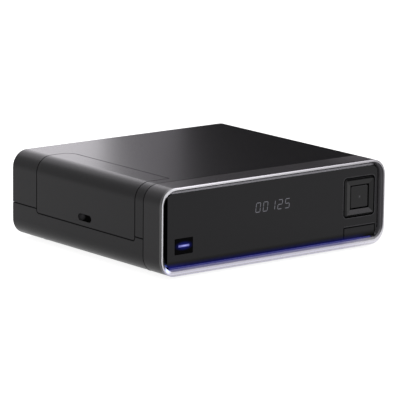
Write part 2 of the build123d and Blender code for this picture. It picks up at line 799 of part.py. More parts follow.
def tact_switches():
    """Six small switches on the front board, one for each thing that is pressed."""
    switches = []
    places = [(power_x, power_h - power_stem_drop), (pad_x, pad_h)] + nav_posts
    y1 = back(front_board_back)
    for x, height in places:
        body = block(about(x, switch_size), (y1 - switch_body_t, y1), about(high(height), switch_size))
        switches.append(body + rod_y(switch_plunger_r, x, high(height), (back(switch_tip), y1 - 1)))
    return group(switches)


def ir_receiver():
    """Remote control receiver with its domed lens."""
    y1 = back(front_board_back)
    body = block(about(eye_x, 7.0), (y1 - 3.5, y1), about(high(eye_h), 8.0))
    return body + Pos(eye_x, y1 - 3.5, high(eye_h)) * Sphere(eye_r)


# ------------------------------------------------------------------ drawer
def side_hatch():
    """Drawer front that wraps over the shoulder, with its finger scoop and pegs."""
    body = shell(hatch_y, 0, wall) & hatch_zone(0)
    pad_half = scoop_len / 2 + scoop_pad
    pad_y = (bay_y - pad_half, bay_y + pad_half)
    pad_z = about(high(scoop_h), scoop_tall + 2 * scoop_pad)
    pad_end = x_left + scoop_d + scoop_pad
    body += plate_x(pad_y, pad_z, (scoop_tall + 2 * scoop_pad) / 2 - 0.01, (x_left + wall / 2, pad_end))
    scoop_z = about(high(scoop_h), scoop_tall)
    scoop = plate_x(about(bay_y, scoop_len), scoop_z, scoop_tall / 2 - 0.01, (x_left - 2, x_left + scoop_d))
    scoop = scoop.fillet(scoop_round, scoop.faces().sort_by(Axis.X)[-1].edges())
    body -= scoop
    for side in (-1, 1):
        for height in (peg_low, peg_high):
            span = (x_left + wall / 2, tray_x + tray_face_t + 0.8)
            peg = rod_x(peg_r, bay_y + side * peg_y, high(height), span)
            body += peg.chamfer(0.5, None, peg.edges().sort_by(Axis.X)[-1:])
    for side in (-1, 1):
        rib_y = about(bay_y + side * 30.0, lip_t)
        rib = block((x_left + wall / 2, hatch_x - 6.0), rib_y, (z_top - wall - 2.5, z_top - wall / 2))
        body += rib & casing(rib_y, wall / 2)
    return body


def drive_tray():
    """Drawer that carries the drive: floor, two sides and a face with a pull slot."""
    x = (tray_x, drive_x[1] - 2.0)
    y = (bay_y - tray_half_w, bay_y + tray_half_w)
    floor_z = (high(tray_floor_h), high(drive_h))
    tray = block(x, y, floor_z)
    for column in range(5):
        cut_x = about(x[0] + 22.0 + 26.0 * column, 18.0)
        tray -= plate_z(cut_x, about(bay_y, 60.0), 4.0, (floor_z[0] - 1, floor_z[1] + 1))
    tray += block((x[0], x[0] + tray_face_t), y, (floor_z[0], floor_z[0] + tray_face_tall))
    for side in (-1, 1):
        edge = bay_y + side * tray_half_w
        inner = bay_y + side * (tray_half_w - tray_side_t)
        wall_y = (min(edge, inner), max(edge, inner))
        tray += block(x, wall_y, (floor_z[0], floor_z[0] + tray_side_tall))
        seat = bay_y + side * (drive_w / 2 + 0.05)
        for reach in drive_screw_from_plug:
            spot = drive_x[1] - reach
            screw_z = high(drive_h + drive_screw_h)
            tray += rod_y(5.0, spot, screw_z, (min(seat, edge), max(seat, edge))) & above(floor_z[0])
            tray -= rod_y(drive_screw_r + 0.15, spot, screw_z, (min(seat, edge) - 1, max(seat, edge) + 1))
            tray -= rod_y(3.3, spot, screw_z, (min(inner, edge + side), max(inner, edge + side)))
    through = (x[0] - 1, x[0] + tray_face_t + 1)
    tray -= plate_x(about(bay_y, pull_w), about(high(pull_h), pull_tall), pull_tall / 2 - 0.5, through)
    for side in (-1, 1):
        for height in (peg_low, peg_high):
            spot = bay_y + side * peg_y
            tray -= rod_x(peg_r + pin_gap, spot, high(height), through)
        for row in range(5):
            vent_y = about(bay_y + side * 31.0, 16.0)
            vent_z = about(high(tray_floor_h + 6.0 + 4.5 * row), 2.0)
            tray -= plate_x(vent_y, vent_z, 0.9, through)
    return tray


def drive_casting():
    """Cast body of the drive with its board recess, plug notch and threaded holes."""
    y = about(bay_y, drive_w)
    z = (high(drive_h), high(drive_h + drive_t - drive_lid_t))
    body = block(drive_x, y, z)
    body = body.fillet(3.0, body.edges().filter_by(Axis.Z))
    recess_x = (drive_x[0] + drive_recess_in, drive_x[1] - 4.0)
    body -= block(recess_x, about(bay_y, drive_w - 12.0), (z[0] - 1, z[0] + 3.0))
    body -= block((drive_x[1] - plug_d, drive_x[1] + 1), plug_y, (z[0] - 1, z[0] + plug_tall + 0.4))
    for side in (-1, 1):
        edge = bay_y + side * drive_w / 2
        for reach in drive_screw_from_plug:
            span = (min(edge + side, edge - side * 5.0), max(edge + side, edge - side * 5.0))
            body -= rod_y(drive_screw_r + screw_gap, drive_x[1] - reach, z[0] + drive_screw_h, span)
    return body


def drive_lid():
    """Pressed lid of the drive, with a raised field over the disks."""
    z = (high(drive_h + drive_t - drive_lid_t), high(drive_h + drive_t))
    x = (drive_x[0] + 1.0, drive_x[1] - 6.0)
    lid = plate_z(x, about(bay_y, drive_w - 2.0), 5.0, (z[0], z[1] - 0.5))
    field = rod_z(46.0, drive_x[0] + 50.0, bay_y, z)
    return lid + (field & plate_z(x, about(bay_y, drive_w - 2.0), 5.0, z))


def drive_board():
    """Drive's circuit board in its recess, with the plug at its rear edge."""
    z0 = high(drive_h) + 1.4
    z1 = z0 + board_t
    board_x = (drive_x[0] + drive_recess_in + 2.0, drive_x[1] - 5.0)
    board = block(board_x, about(bay_y, drive_w - 14.0), (z0, z1))
    plug_x = (drive_x[1] - plug_d + 0.5, drive_x[1])
    board += block(plug_x, (plug_y[0] + 0.3, plug_y[1] - 0.3), (high(drive_h) + 0.4, z1))
    board += block(about(drive_x[0] + 70.0, 14.0), about(bay_y + 12.0, 14.0), (z0 - 1.0, z0))
    return board


def drive_screws():
    """Four screws through the drawer's sides into the drive."""
    screws = []
    for side in (-1, 1):
        seat = bay_y + side * (tray_half_w - tray_side_t)
        for reach in drive_screw_from_plug:
            x = drive_x[1] - reach
            z = high(drive_h + drive_screw_h)
            tip = bay_y + side * (drive_w / 2 - 4.0)
            outer = seat + side * 1.4
            body = rod_y(drive_screw_r, x, z, (min(tip, seat), max(tip, seat)))
            body += rod_y(3.0, x, z, (min(seat, outer), max(seat, outer)))
            screws.append(body)
    return group(screws)


def bay_frame():
    """Sheet metal bay: runners under the drawer, two sides and a back wall with a window."""
    x = (x_left + wall + 6.0, bay_back_x + bay_t)
    floor_z = (high(bay_h), high(bay_h + bay_t))
    frame = block(x, about(bay_y, 2 * (bay_half_w + bay_t)), floor_z)
    slot_y = about(bay_y, 2 * (bay_half_w - bay_runner_w))
    for column in range(6):
        slot_x = about(x[0] + 17.0 + 22.0 * column, 14.0)
        frame -= plate_z(slot_x, slot_y, 4.0, (floor_z[0] - 1, floor_z[1] + 1))
    for side in (-1, 1):
        wall_y = (bay_y + side * bay_half_w, bay_y + side * (bay_half_w + bay_t))
        frame += block(x, (min(wall_y), max(wall_y)), (floor_z[0], floor_z[0] + bay_side_tall))
        for post in bay_post_x:
            ear_y = (bay_y + side * bay_half_w, bay_y + side * (bay_post_y + 4.5))
            ear = block(about(post, 10.0), (min(ear_y), max(ear_y)), floor_z)
            through = (floor_z[0] - 1, floor_z[1] + 1)
            frame += ear - rod_z(screw_r + 0.2, post, bay_y + side * bay_post_y, through)
    wall_x = (bay_back_x, bay_back_x + bay_t)
    frame += block(wall_x, about(bay_y, 2 * (bay_half_w + bay_t)), (floor_z[0], floor_z[0] + bay_back_tall))
    through = (wall_x[0] - 1, wall_x[1] + 1)
    window_z = (high(drive_h) - 0.5, high(drive_h) + plug_tall + 2.4)
    frame -= block(through, (plug_y[0] - 1.0, plug_y[1] + 1.0), window_z)
    return frame - plate_x(about(bay_y + 22.0, 40.0), about(high(bay_h + 21.0), 14.0), 3.0, through)


def bay_screws():
    """Screws that hold the bay to the base's posts."""
    places = [(x, bay_y + side * bay_post_y) for x in bay_post_x for side in (-1, 1)]
    return group([screw(x, y, high(bay_h + bay_t), 7.0) for x, y in places])


def backplane_board():
    """Upright board behind the bay, plugged into the main board's slot."""
    x = (bay_back_x + bay_t, bay_back_x + bay_t + board_t)
    board = block(x, about(bay_y, 76.0), (high(board_top + 8.2), high(bay_h + bay_back_tall)))
    return board + block(x, about(bay_y, 44.0), (high(board_top + 2.0), high(board_top + 9.0)))


def drive_socket():
    """Socket on the upright board that the drive's plug meets when the drawer is home."""
    x = (drive_x[1] + plug_gap, bay_back_x + bay_t)
    z = (high(drive_h) + 0.4, high(drive_h) + 0.4 + plug_tall)
    socket = block(x, (plug_y[0] + 0.5, plug_y[1] - 0.5), z)
    socket -= block((x[0] - 1, x[0] + 1.6), (plug_y[0] + 3.0, plug_y[1] - 3.0), (z[0] + 2.0, z[0] + 3.4))
    return socket


# ------------------------------------------------------------------ boards
def main_board():
    """Main circuit board on the base's standoffs."""
    board = block(main_board_x, main_board_y, (high(main_board_h), high(board_top)))
    for x, y in standoffs:
        board -= rod_z(screw_r + 0.2, x, y, (high(main_board_h - 1), high(board_top + 1)))
    for x in bay_post_x:
        for side in (-1, 1):
            y = bay_y + side * bay_post_y
            board -= rod_z(bay_post_r + 0.8, x, y, (high(main_board_h - 1), high(board_top + 1)))
    return board


def board_screws():
    """Screws that hold the main board to its standoffs."""
    return group([screw(x, y, high(board_top), 4.6 + board_t - 1.2) for x, y in standoffs])


def heat_sink():
    """Finned heat sink on the main chip."""
    z0 = high(board_top + chip_t)
    sink = block(about(chip_x, sink_size), about(chip_y, sink_size), (z0, z0 + sink_base_t))
    pitch = (sink_size - sink_fin_t) / (sink_fins - 1)
    for i in range(sink_fins):
        x = chip_x - sink_size / 2 + sink_fin_t / 2 + pitch * i
        fin_z = (z0 + sink_base_t - 0.5, z0 + sink_tall)
        sink += block(about(x, sink_fin_t), about(chip_y, sink_size), fin_z)
    return sink


def board_components():
    """Chips, capacitors, coil, cell holder, board slot and ribbon socket on the main board."""
    z0 = high(board_top)
    parts = [block(about(chip_x, chip_size), about(chip_y, chip_size), (z0, z0 + chip_t))]
    for x, depth in memory_places:
        parts.append(block(about(x, 9.0), about(back(depth), 13.0), (z0, z0 + 1.2)))
    for x, depth in capacitor_places:
        can = rod_z(4.0, x, back(depth), (z0, z0 + 11.0))
        parts.append(can.chamfer(0.5, None, can.edges().sort_by(Axis.Z)[-1:]))
    parts.append(rod_z(10.2, 76.0, back(70.0), (z0, z0 + 5.2)))
    parts.append(block(about(-70.0, 12.0), about(back(116.0), 12.0), (z0, z0 + 6.0)))
    parts.append(block(about(72.0, 15.0), about(back(106.0), 17.0), (z0, z0 + 1.8)))
    slot_x = bay_back_x + bay_t + board_t / 2
    slot = block(about(slot_x, 7.0), about(bay_y, 50.0), (z0, z0 + 7.0))
    slot -= block(about(slot_x, board_t + 0.1), about(bay_y, 44.1), (z0 + 2.0, z0 + 8.0))
    parts.append(slot)
    socket_y = (ribbon_end, ribbon_end + ribbon_socket_d)
    parts.append(block(about(ribbon_x, ribbon_socket_w), socket_y, (z0, z0 + ribbon_socket_tall)))
    return group(parts)


def ribbon_socket():
    """Socket on the back of the front board for the ribbon cable."""
    y = (back(front_board_back + board_t), back(front_board_back + board_t + ribbon_socket_d))
    return block(about(ribbon_x, ribbon_socket_w), y, about(high(ribbon_high), ribbon_socket_tall))


def ribbon_cable():
    """Flat cable from the front board back and down to the main board."""
    start = back(front_board_back + board_t + ribbon_socket_d)
    low = high(board_top + ribbon_low)
    path = FilletPolyline(
        (start, high(ribbon_high)),
        (start + 5.0, high(ribbon_high)),
        (ribbon_end - 4.0, low),
        (ribbon_end, low),
        radius=2.5,
    )
    strip = extrude(Plane.YZ * trace(path, ribbon_t), amount=ribbon_w)
    strip = Pos(ribbon_x - ribbon_w / 2, 0, 0) * strip
    return strip & block((-body_w, body_w), (start, ribbon_end), (0, body_h))


# ------------------------------------------------------------------ rear
def rear_panel():
    """Rear panel with a hole for each socket, the fan's guard and air slots."""
    panel = casing((rear_in, rear_out), wall + lip_gap)
    through = (rear_in - 1, rear_out + 1)
    for x, width, tall in rear_holes:
        low = high(board_top + socket_lift)
        z = (low - socket_gap, low + tall + socket_gap)
        panel -= block(about(x, width + 2 * socket_gap), through, z)
    for x in rca_places:
        panel -= rod_y(rca_sleeve_r + socket_gap, x, high(rca_h), through)
    bore = rod_y(fan_bore_r - 0.6, fan_x, high(fan_h), through)
    for i in range(-4, 5):
        bore -= block(about(fan_x + 4.4 * i, 1.6), through, (z_bot, z_top))
    panel -= bore
    for sx in (-1, 1):
        for sz in (-1, 1):
            x = fan_x + sx * fan_pitch / 2
            panel -= rod_y(screw_r + 0.2, x, high(fan_h) + sz * fan_pitch / 2, through)
    for row in range(5):
        for column in range(5):
            slot_x = about(-84.0 + 26.0 * column, 20.0)
            panel -= plate_y(slot_x, about(high(36.0 + 5.5 * row), 2.4), 1.1, through)
    for x, height in rear_screws_base + rear_screws_cover:
        panel -= rod_y(screw_r + 0.2, x, high(height), through)
    return panel


def rear_screws():
    """Screws that hold the rear panel."""
    screws = []
    for x, height in rear_screws_base + rear_screws_cover:
        head = rod_y(2.2, x, high(height), (rear_out, y_rear - 0.1))
        screws.append(head + rod_y(screw_r, x, high(height), (rear_in - 5.0, rear_out)))
    return group(screws)


def hdmi_socket():
    """Digital video socket."""
    x = hdmi_x
    y = (rear_in - 10.0, rear_out + socket_proud)
    z0 = high(board_top)
    z = (z0 + socket_lift, z0 + socket_lift + hdmi_tall)
    body = block(about(x, hdmi_w), y, z)
    body -= block(about(x, hdmi_w - 1.4), (y[1] - 8.0, y[1] + 1), (z[0] + 0.8, z[1] - 0.8))
    body += block(about(x, 11.0), (y[1] - 9.0, y[1] - 1.0), about((z[0] + z[1]) / 2, 0.9))
    return body + block(about(x, 14.0), (y[0] + 0.5, rear_in - 1.0), (z0, z0 + 0.7))


def ethernet_jack():
    """Network jack with its eight contacts and latch notch."""
    x = lan_x
    y = (rear_out + socket_proud - 21.0, rear_out + socket_proud)
    z0 = high(board_top)
    body = block(about(x, lan_w), y, (z0 + socket_lift, z0 + socket_lift + lan_tall))
    body += block(about(x, lan_w - 2.0), (y[0] + 1.0, rear_in - 1.0), (z0, z0 + 1.0))
    body -= block(about(x, 11.9), (y[1] - 13.0, y[1] + 1), (z0 + 4.0, z0 + 11.9))
    body -= block(about(x, 6.2), (y[1] - 13.0, y[1] + 1), (z0 + 1.6, z0 + 4.5))
    for i in range(8):
        pin_x = about(x + 1.02 * (i - 3.5), 0.45)
        body += block(pin_x, (y[1] - 12.5, y[1] - 3.0), (z0 + 10.6, z0 + 12.0))
    return body


def usb_sockets():
    """Two stacked Type A sockets on one bracket."""
    y = (rear_out + socket_proud - 17.0, rear_out + socket_proud)
    first = board_top + socket_lift
    low = usb_port(usb_x, first + usb_tall / 2, y, 1)
    top = usb_port(usb_x, first + 1.5 * usb_tall + usb_apart, y, 1)
    bracket_z = (high(board_top), high(first + usb_apart + 2 * usb_tall))
    bracket = block(about(usb_x, usb_w), (y[0] - 1.5, y[0] + 0.5), bracket_z)
    spacer_z = (high(first + usb_tall - 0.2), high(first + usb_tall + usb_apart + 0.2))
    spacer = block(about(usb_x, usb_w), (y[0], y[1] - 0.5), spacer_z)
    return low + top + bracket + spacer


def esata_socket():
    """External drive socket."""
    y = (rear_in - 12.0, rear_out + socket_proud)
    z0 = high(board_top)
    body = block(about(esata_x, esata_w), y, (z0 + socket_lift, z0 + socket_lift + esata_tall))
    body -= block(about(esata_x, 11.6), (y[1] - 8.0, y[1] + 1), (z0 + 1.8, z0 + 5.0))
    body += block(about(esata_x, 8.6), (y[1] - 9.0, y[1] - 1.0), (z0 + 3.6, z0 + 4.6))
    return body + block(about(esata_x, 12.0), (y[0] + 1.0, rear_in - 2.0), (z0, z0 + 1.0))


def rca_jacks():
    """Row of three phono jacks in one block, each with its sleeve."""
    y0 = rear_in - 12.0
    z0 = high(board_top)
    body = block(about(rca_x, 2 * rca_pitch + 11.0), (y0, rear_in), (z0, z0 + 12.5))
    for x in rca_places:
        body += rod_y(rca_sleeve_r, x, high(rca_h), (rear_in - 1.0, y_rear + jack_out))
        body -= rod_y(1.6, x, high(rca_h), (rear_in - 3.0, y_rear + jack_out + 1))
    return body


def optical_socket():
    """Optical sound socket with its square mouth."""
    y = (rear_in - 10.0, rear_out + socket_proud)
    z0 = high(board_top)
    body = block(about(optical_x, optical_w), y, (z0, z0 + optical_tall))
    return body - block(about(optical_x, 6.6), (y[1] - 3.0, y[1] + 1), (z0 + 1.9, z0 + 8.3))


def dc_jack():
    """Power inlet with its centre pin."""
    y = (rear_in - 12.0, rear_out + socket_proud)
    z0 = high(board_top)
    body = block(about(dc_x, dc_w), y, (z0, z0 + dc_tall))
    body -= rod_y(3.1, dc_x, z0 + 6.4, (y[1] - 9.5, y[1] + 1))
    return body + rod_y(1.0, dc_x, z0 + 6.4, (y[1] - 10.0, y[1] - 1.0))


def fan_frame():
    """Square frame of the exhaust fan, with the motor seat on three spokes."""
    y = (rear_in - fan_t, rear_in)
    x = about(fan_x, fan_size)
    z = about(high(fan_h), fan_size)
    frame = plate_y(x, z, 2.5, y) - rod_y(fan_bore_r, fan_x, high(fan_h), (y[0] - 1, y[1] + 1))
    for i in range(3):
        turn = Pos(fan_x, 0, high(fan_h)) * Rot(0, 120 * i + 30, 0)
        frame += turn * block((fan_hub_r - 1, fan_bore_r + 0.5), (y[1] - 2.0, y[1] - 0.4), (-1.2, 1.2))
    frame += rod_y(fan_hub_r + 0.5, fan_x, high(fan_h), (y[1] - 2.2, y[1] - 0.4))
    frame += rod_y(3.2, fan_x, high(fan_h), (y[0] + 2.5, y[1] - 1.0))
    frame -= rod_y(fan_shaft_r + pin_gap, fan_x, high(fan_h), (y[0], y[1] - 1.6))
    for sx in (-1, 1):
        for sz in (-1, 1):
            spot = (fan_x + sx * fan_pitch / 2, high(fan_h) + sz * fan_pitch / 2)
            frame -= rod_y(screw_r + screw_gap, spot[0], spot[1], (y[0] - 1, y[1] + 1))
    return frame


def fan_rotor():
    """Fan wheel: cup, shaft and raked blades."""
    y = (rear_in - fan_t + 0.6, rear_in - 2.9)
    z = high(fan_h)
    rotor = rod_y(fan_hub_r, fan_x, z, y) - rod_y(fan_hub_r - 1.4, fan_x, z, (y[0] + 1.4, y[1] + 1))
    rotor += rod_y(fan_shaft_r, fan_x, z, (y[0] + 0.5, rear_in - 2.0))
    reach = (fan_hub_r - 0.7, fan_bore_r - 0.7)
    mid = (y[0] + y[1]) / 2
    for i in range(fan_blades):
        blade = block(reach, (-0.6, 0.6), (-4.6, 4.6))
        blade = Rot(fan_blade_turn + 90, 0, 0) * blade
        rotor += Pos(fan_x, mid, z) * Rot(0, 360 / fan_blades * i, 0) * blade
    swept = rod_y(fan_bore_r - free_gap - 0.1, fan_x, z, y)
    return rotor & (swept + rod_y(fan_shaft_r + 1, fan_x, z, (y[1] - 1, rear_in - 1.0)))


def fan_screws():
    """Four screws through the rear panel into the fan's frame."""
    screws = []
    for sx in (-1, 1):
        for sz in (-1, 1):
            spot = (fan_x + sx * fan_pitch / 2, high(fan_h) + sz * fan_pitch / 2)
            head = rod_y(2.4, spot[0], spot[1], (rear_out, y_rear - 0.1))
            screws.append(head + rod_y(screw_r, spot[0], spot[1], (rear_in - 7.0, rear_out)))
    return group(screws)


NODES = {
    "base_shell": base_shell,
    "top_cover": top_cover,
    "rubber_feet": rubber_feet,
    "case_screws": case_screws,
    "front_trim_ring": front_trim_ring,
    "front_collar": front_collar,
    "front_panel": front_panel,
    "light_bar": light_bar,
    "power_button": power_button,
    "power_lamp": lambda: lamp_bar(0.0),
    "nav_ring": nav_ring,
    "nav_gimbal": nav_gimbal,
    "ok_button": ok_button,
    "usb_flap": usb_flap,
    "flap_pin": flap_pin,
    "front_usb_port": front_usb_port,
    "front_board": front_board,
    "front_screws": front_screws,
    "display_module": display_module,
    "tact_switches": tact_switches,
    "ir_receiver": ir_receiver,
    "side_hatch": side_hatch,
    "drive_tray": drive_tray,
    "drive_casting": drive_casting,
    "drive_lid": drive_lid,
    "drive_board": drive_board,
    "drive_screws": drive_screws,
    "bay_frame": bay_frame,
    "bay_screws": bay_screws,
    "backplane_board": backplane_board,
    "drive_socket": drive_socket,
    "main_board": main_board,
    "board_screws": board_screws,
    "heat_sink": heat_sink,
    "board_components": board_components,
    "ribbon_socket": ribbon_socket,
    "ribbon_cable": ribbon_cable,
    "rear_panel": rear_panel,
    "rear_screws": rear_screws,
    "hdmi_socket": hdmi_socket,
    "ethernet_jack": ethernet_jack,
    "usb_sockets": usb_sockets,
    "esata_socket": esata_socket,
    "rca_jacks": rca_jacks,
    "optical_socket": optical_socket,
    "dc_jack": dc_jack,
    "fan_frame": fan_frame,
    "fan_rotor": fan_rotor,
    "fan_screws": fan_screws,
}


def main():
    os.makedirs("parts", exist_ok=True)
    for name, build in NODES.items():
        export_step(build(), f"parts/{name}.step")


main()
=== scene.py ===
"""Looks of the media player: materials, small pieces, studio light and camera.

Everything is in metres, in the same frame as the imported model: +Z up, front towards -Y.
"""

import json
from math import cos, pi, radians, sin

import bmesh
import bpy
from mathutils import Matrix, Vector


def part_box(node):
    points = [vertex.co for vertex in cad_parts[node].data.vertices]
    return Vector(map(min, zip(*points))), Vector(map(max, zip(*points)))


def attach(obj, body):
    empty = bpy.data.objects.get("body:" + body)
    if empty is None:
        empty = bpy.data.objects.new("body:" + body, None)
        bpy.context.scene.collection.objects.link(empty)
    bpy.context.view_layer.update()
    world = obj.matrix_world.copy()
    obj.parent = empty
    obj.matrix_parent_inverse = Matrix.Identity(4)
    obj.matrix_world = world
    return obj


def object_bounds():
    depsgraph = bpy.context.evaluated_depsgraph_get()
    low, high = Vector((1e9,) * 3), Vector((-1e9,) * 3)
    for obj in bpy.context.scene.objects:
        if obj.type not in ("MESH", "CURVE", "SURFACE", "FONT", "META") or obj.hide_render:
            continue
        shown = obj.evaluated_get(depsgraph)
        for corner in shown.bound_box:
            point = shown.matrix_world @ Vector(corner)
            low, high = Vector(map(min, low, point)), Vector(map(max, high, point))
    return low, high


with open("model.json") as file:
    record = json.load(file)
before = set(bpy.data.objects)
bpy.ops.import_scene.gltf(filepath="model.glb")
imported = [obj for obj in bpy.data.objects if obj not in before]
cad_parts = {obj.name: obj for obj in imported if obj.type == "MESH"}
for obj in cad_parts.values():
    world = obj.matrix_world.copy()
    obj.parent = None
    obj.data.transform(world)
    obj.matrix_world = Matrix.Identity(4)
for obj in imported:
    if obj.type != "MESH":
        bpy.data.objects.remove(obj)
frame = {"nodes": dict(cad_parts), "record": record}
cad_low, cad_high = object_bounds()

MM = 0.001
node = frame["nodes"]


def top(name):
    """Highest corner of a CAD node."""
    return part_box(name)[1]


def low(name):
    """Lowest corner of a CAD node."""
    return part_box(name)[0]


def middle(name):
    """Centre of a CAD node's box."""
    a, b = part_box(name)
    return (a + b) / 2


y_front = low("front_trim_ring").y
panel_y = low("front_panel").y
underside = low("base_shell").z
casing_top = top("top_cover").z
corner_radius = 13.7 * MM
x_scoop = cad_low.x + 2.0 * MM
LINE_BLUR = 0.1 * MM


def back(depth_mm):
    """Y of a plane this many millimetres behind the front plane."""
    return y_front + depth_mm * MM


def high(height_mm):
    """Z of a plane this many millimetres above the casing's underside."""
    return underside + height_mm * MM


# ------------------------------------------------------------------ shader helpers
class Shader:
    """A node material being built: a principled surface plus whatever feeds it."""

    def __init__(self, name):
        self.material = bpy.data.materials.new(name)
        self.material.use_nodes = True
        self.tree = self.material.node_tree
        self.surface = self.tree.nodes["Principled BSDF"]

    def add(self, kind, **values):
        made = self.tree.nodes.new(kind)
        for key, value in values.items():
            if key in made.inputs:
                made.inputs[key].default_value = value
            else:
                setattr(made, key, value)
        return made

    def link(self, start, end):
        self.tree.links.new(start, end)

    def set(self, **values):
        for key, value in values.items():
            self.surface.inputs[key.replace("_", " ")].default_value = value

    def place(self):
        """Object coordinates, which for a CAD node are its place in the row frame."""
        return self.add("ShaderNodeTexCoord").outputs["Object"]

    def noise(self, scale, detail=2.0):
        texture = self.add("ShaderNodeTexNoise", Scale=scale, Detail=detail)
        self.link(self.place(), texture.inputs["Vector"])
        return texture.outputs["Fac"]

    def between(self, factor, low_value, high_value, start=0.3, end=0.7):
        """Value that runs from low to high as the factor goes from start to end."""
        ramp = self.add("ShaderNodeMapRange")
        self.link(factor, ramp.inputs["Value"])
        ends = {"From Min": start, "From Max": end, "To Min": low_value, "To Max": high_value}
        for key, value in ends.items():
            ramp.inputs[key].default_value = value
        return ramp.outputs["Result"]

    def blend(self, factor, first, second):
        """Colour between two colours, each given as a value or as a socket."""
        mix = self.add("ShaderNodeMix", data_type="RGBA")
        self.link(factor, mix.inputs["Factor"])
        for value, socket in ((first, mix.inputs["A"]), (second, mix.inputs["B"])):
            if isinstance(value, tuple):
                socket.default_value = (*value, 1.0)
            else:
                self.link(value, socket)
        return mix.outputs["Result"]

    def math(self, operation, first, second=0.0):
        """One arithmetic step on sockets or numbers."""
        step = self.add("ShaderNodeMath", operation=operation)
        for value, socket in zip((first, second), step.inputs):
            if isinstance(value, (int, float)):
                socket.default_value = value
            else:
                self.link(value, socket)
        return step.outputs["Value"]

    def product(self, first, *others):
        """Several masks multiplied."""
        for other in others:
            first = self.math("MULTIPLY", first, other)
        return first

    def away(self, value, centre):
        """Distance between two values, whichever is larger."""
        return self.math("ABSOLUTE", self.math("SUBTRACT", value, centre))

    def opposite(self, mask):
        """1 where a mask is 0, and 0 where it is 1."""
        return self.between(mask, 1.0, 0.0, 0.0, 1.0)

    def vector(self, operation, first, second=None):
        """One step on vectors, whose second value is a fixed vector."""
        step = self.add("ShaderNodeVectorMath", operation=operation)
        self.link(first, step.inputs[0])
        if second is not None:
            step.inputs[1].default_value = second
        return step.outputs["Value" if operation in ("LENGTH", "DISTANCE") else "Vector"]

    def axes(self):
        """Object coordinates one by one."""
        split = self.add("ShaderNodeSeparateXYZ")
        self.link(self.place(), split.inputs["Vector"])
        return split.outputs["X"], split.outputs["Y"], split.outputs["Z"]

    def spot(self, centre, radius):
        """Mask of a soft round spot."""
        ramp = self.between(self.vector("DISTANCE", self.place(), centre), 1.0, 0.0, 0.0, radius)
        ramp.node.interpolation_type = "SMOOTHSTEP"
        return ramp

    def within(self, centre, half, radius, plane=(1, 0, 1)):
        """How far a point is inside a rounded rectangle, in the plane of the axes that are 1."""
        plane = Vector(plane)
        flat = self.vector("MULTIPLY", self.vector("SUBTRACT", self.place(), centre), plane)
        core = Vector([(size - radius) * used for size, used in zip(half, plane)])
        past = self.vector("SUBTRACT", self.vector("ABSOLUTE", flat), core)
        beyond = self.vector("LENGTH", self.vector("MAXIMUM", past, (0, 0, 0)))
        return self.math("SUBTRACT", radius, beyond)

    def inside_outline(self):
        """How far a point lies inside the casing's outline, seen from the front."""
        half = Vector(((cad_high.x - cad_low.x) / 2, 0.0, (casing_top - underside) / 2))
        return self.within((0.0, 0.0, underside + half.z), half, corner_radius)

    def line(self, distance, half_width=0.5 * MM):
        """Mask of a line where a distance is near zero."""
        off = self.math("ABSOLUTE", distance)
        return self.between(off, 1.0, 0.0, half_width - LINE_BLUR, half_width + LINE_BLUR)

    def bump(self, height, strength, distance):
        made = self.add("ShaderNodeBump", Strength=strength, Distance=distance)
        self.link(height, made.inputs["Height"])
        self.link(made.outputs["Normal"], self.surface.inputs["Normal"])

    def source(self, name):
        """Socket that feeds one of the surface's inputs."""
        return self.surface.inputs[name].links[0].from_socket

    def feed(self, name, value):
        """Link a value to one of the surface's inputs."""
        self.link(value, self.surface.inputs[name])


def finish_of(name, color, rough, metal=0.0, grain=900.0, spread=0.12, rough_spread=0.08, bump=0.0,
              **more):
    """Solid finish whose colour and roughness vary a little over its surface."""
    s = Shader(name)
    s.set(Metallic=metal, **more)
    darker = tuple(c * (1 - spread) for c in color)
    lighter = tuple(min(1.0, c * (1 + spread)) for c in color)
    s.feed("Base Color", s.blend(s.noise(60.0, 3.0), darker, lighter))
    fine = s.noise(grain, 3.0)
    low_rough = max(0.02, rough - rough_spread)
    s.feed("Roughness", s.between(fine, low_rough, rough + rough_spread))
    if bump:
        s.bump(fine, bump, 0.0001)
    return s


# ------------------------------------------------------------------ materials
CASING = (0.0075, 0.0068, 0.0082)
# Collar colours: its side, a lighter copy for its top as painted light from above, and a brighter
# painted highlight towards its right end
COLLAR_SIDE = (0.019, 0.0178, 0.0198)
COLLAR_TOP_LIT = (0.050, 0.047, 0.051)
COLLAR_DEPTH = 23.5
# Lighter grey painted on the opening's right inner wall as painted light
INNER_WALL_LIGHT = (0.24, 0.235, 0.25)
# Painted highlight on the window's top bevel
TOP_BEVEL_HIGHLIGHT = (0.95, 0.93, 1.0)
COLLAR_TOP_RIGHT_HIGHLIGHT = (0.12, 0.113, 0.121)
# Painted highlight lines round the pad's opening and above the flap
PAD_AND_FLAP_HIGHLIGHT = (0.05, 0.049, 0.053)
# Near black for the seams' dark joints and for painted shade on surfaces inside the outline
SHADE_AND_SEAM_BLACK = (0.0012, 0.0012, 0.0013)
# Painted highlight on the scoop's rear end wall
SCOOP_REAR_HIGHLIGHT = (0.12, 0.117, 0.123)
SCOOP_HIGH = 31.0
REAR_RIM = 199.5
CASING_GLOSS = 0.14
WINDOW_GLOSS = 0.2
KEY_GLOSS = 0.22
KEY_ROUGH = 0.17
POWER_KEY_GLOSS = 0.08
# Painted blue light on the window's lower edge and in its lower left corner
BLUE_EDGE_LOW = 5.6
BLUE_EDGE_HIGH = 10.2
BLUE_LIGHT = 0.08
BLUE_CORNER_GLOW = 1.6
# Painted highlight lines and painted light emitted by the ring
UPPER_HIGHLIGHT = 0.16
LOWER_HIGHLIGHT = 0.06
SILL_LIGHT = 0.17
CORNER_LIGHT = 1.5
# Painted blue light on the keys round the lit bar
HALO_LIGHT = 0.14
PAD_HALF = 17.3
PAD_CORNER = 4.2


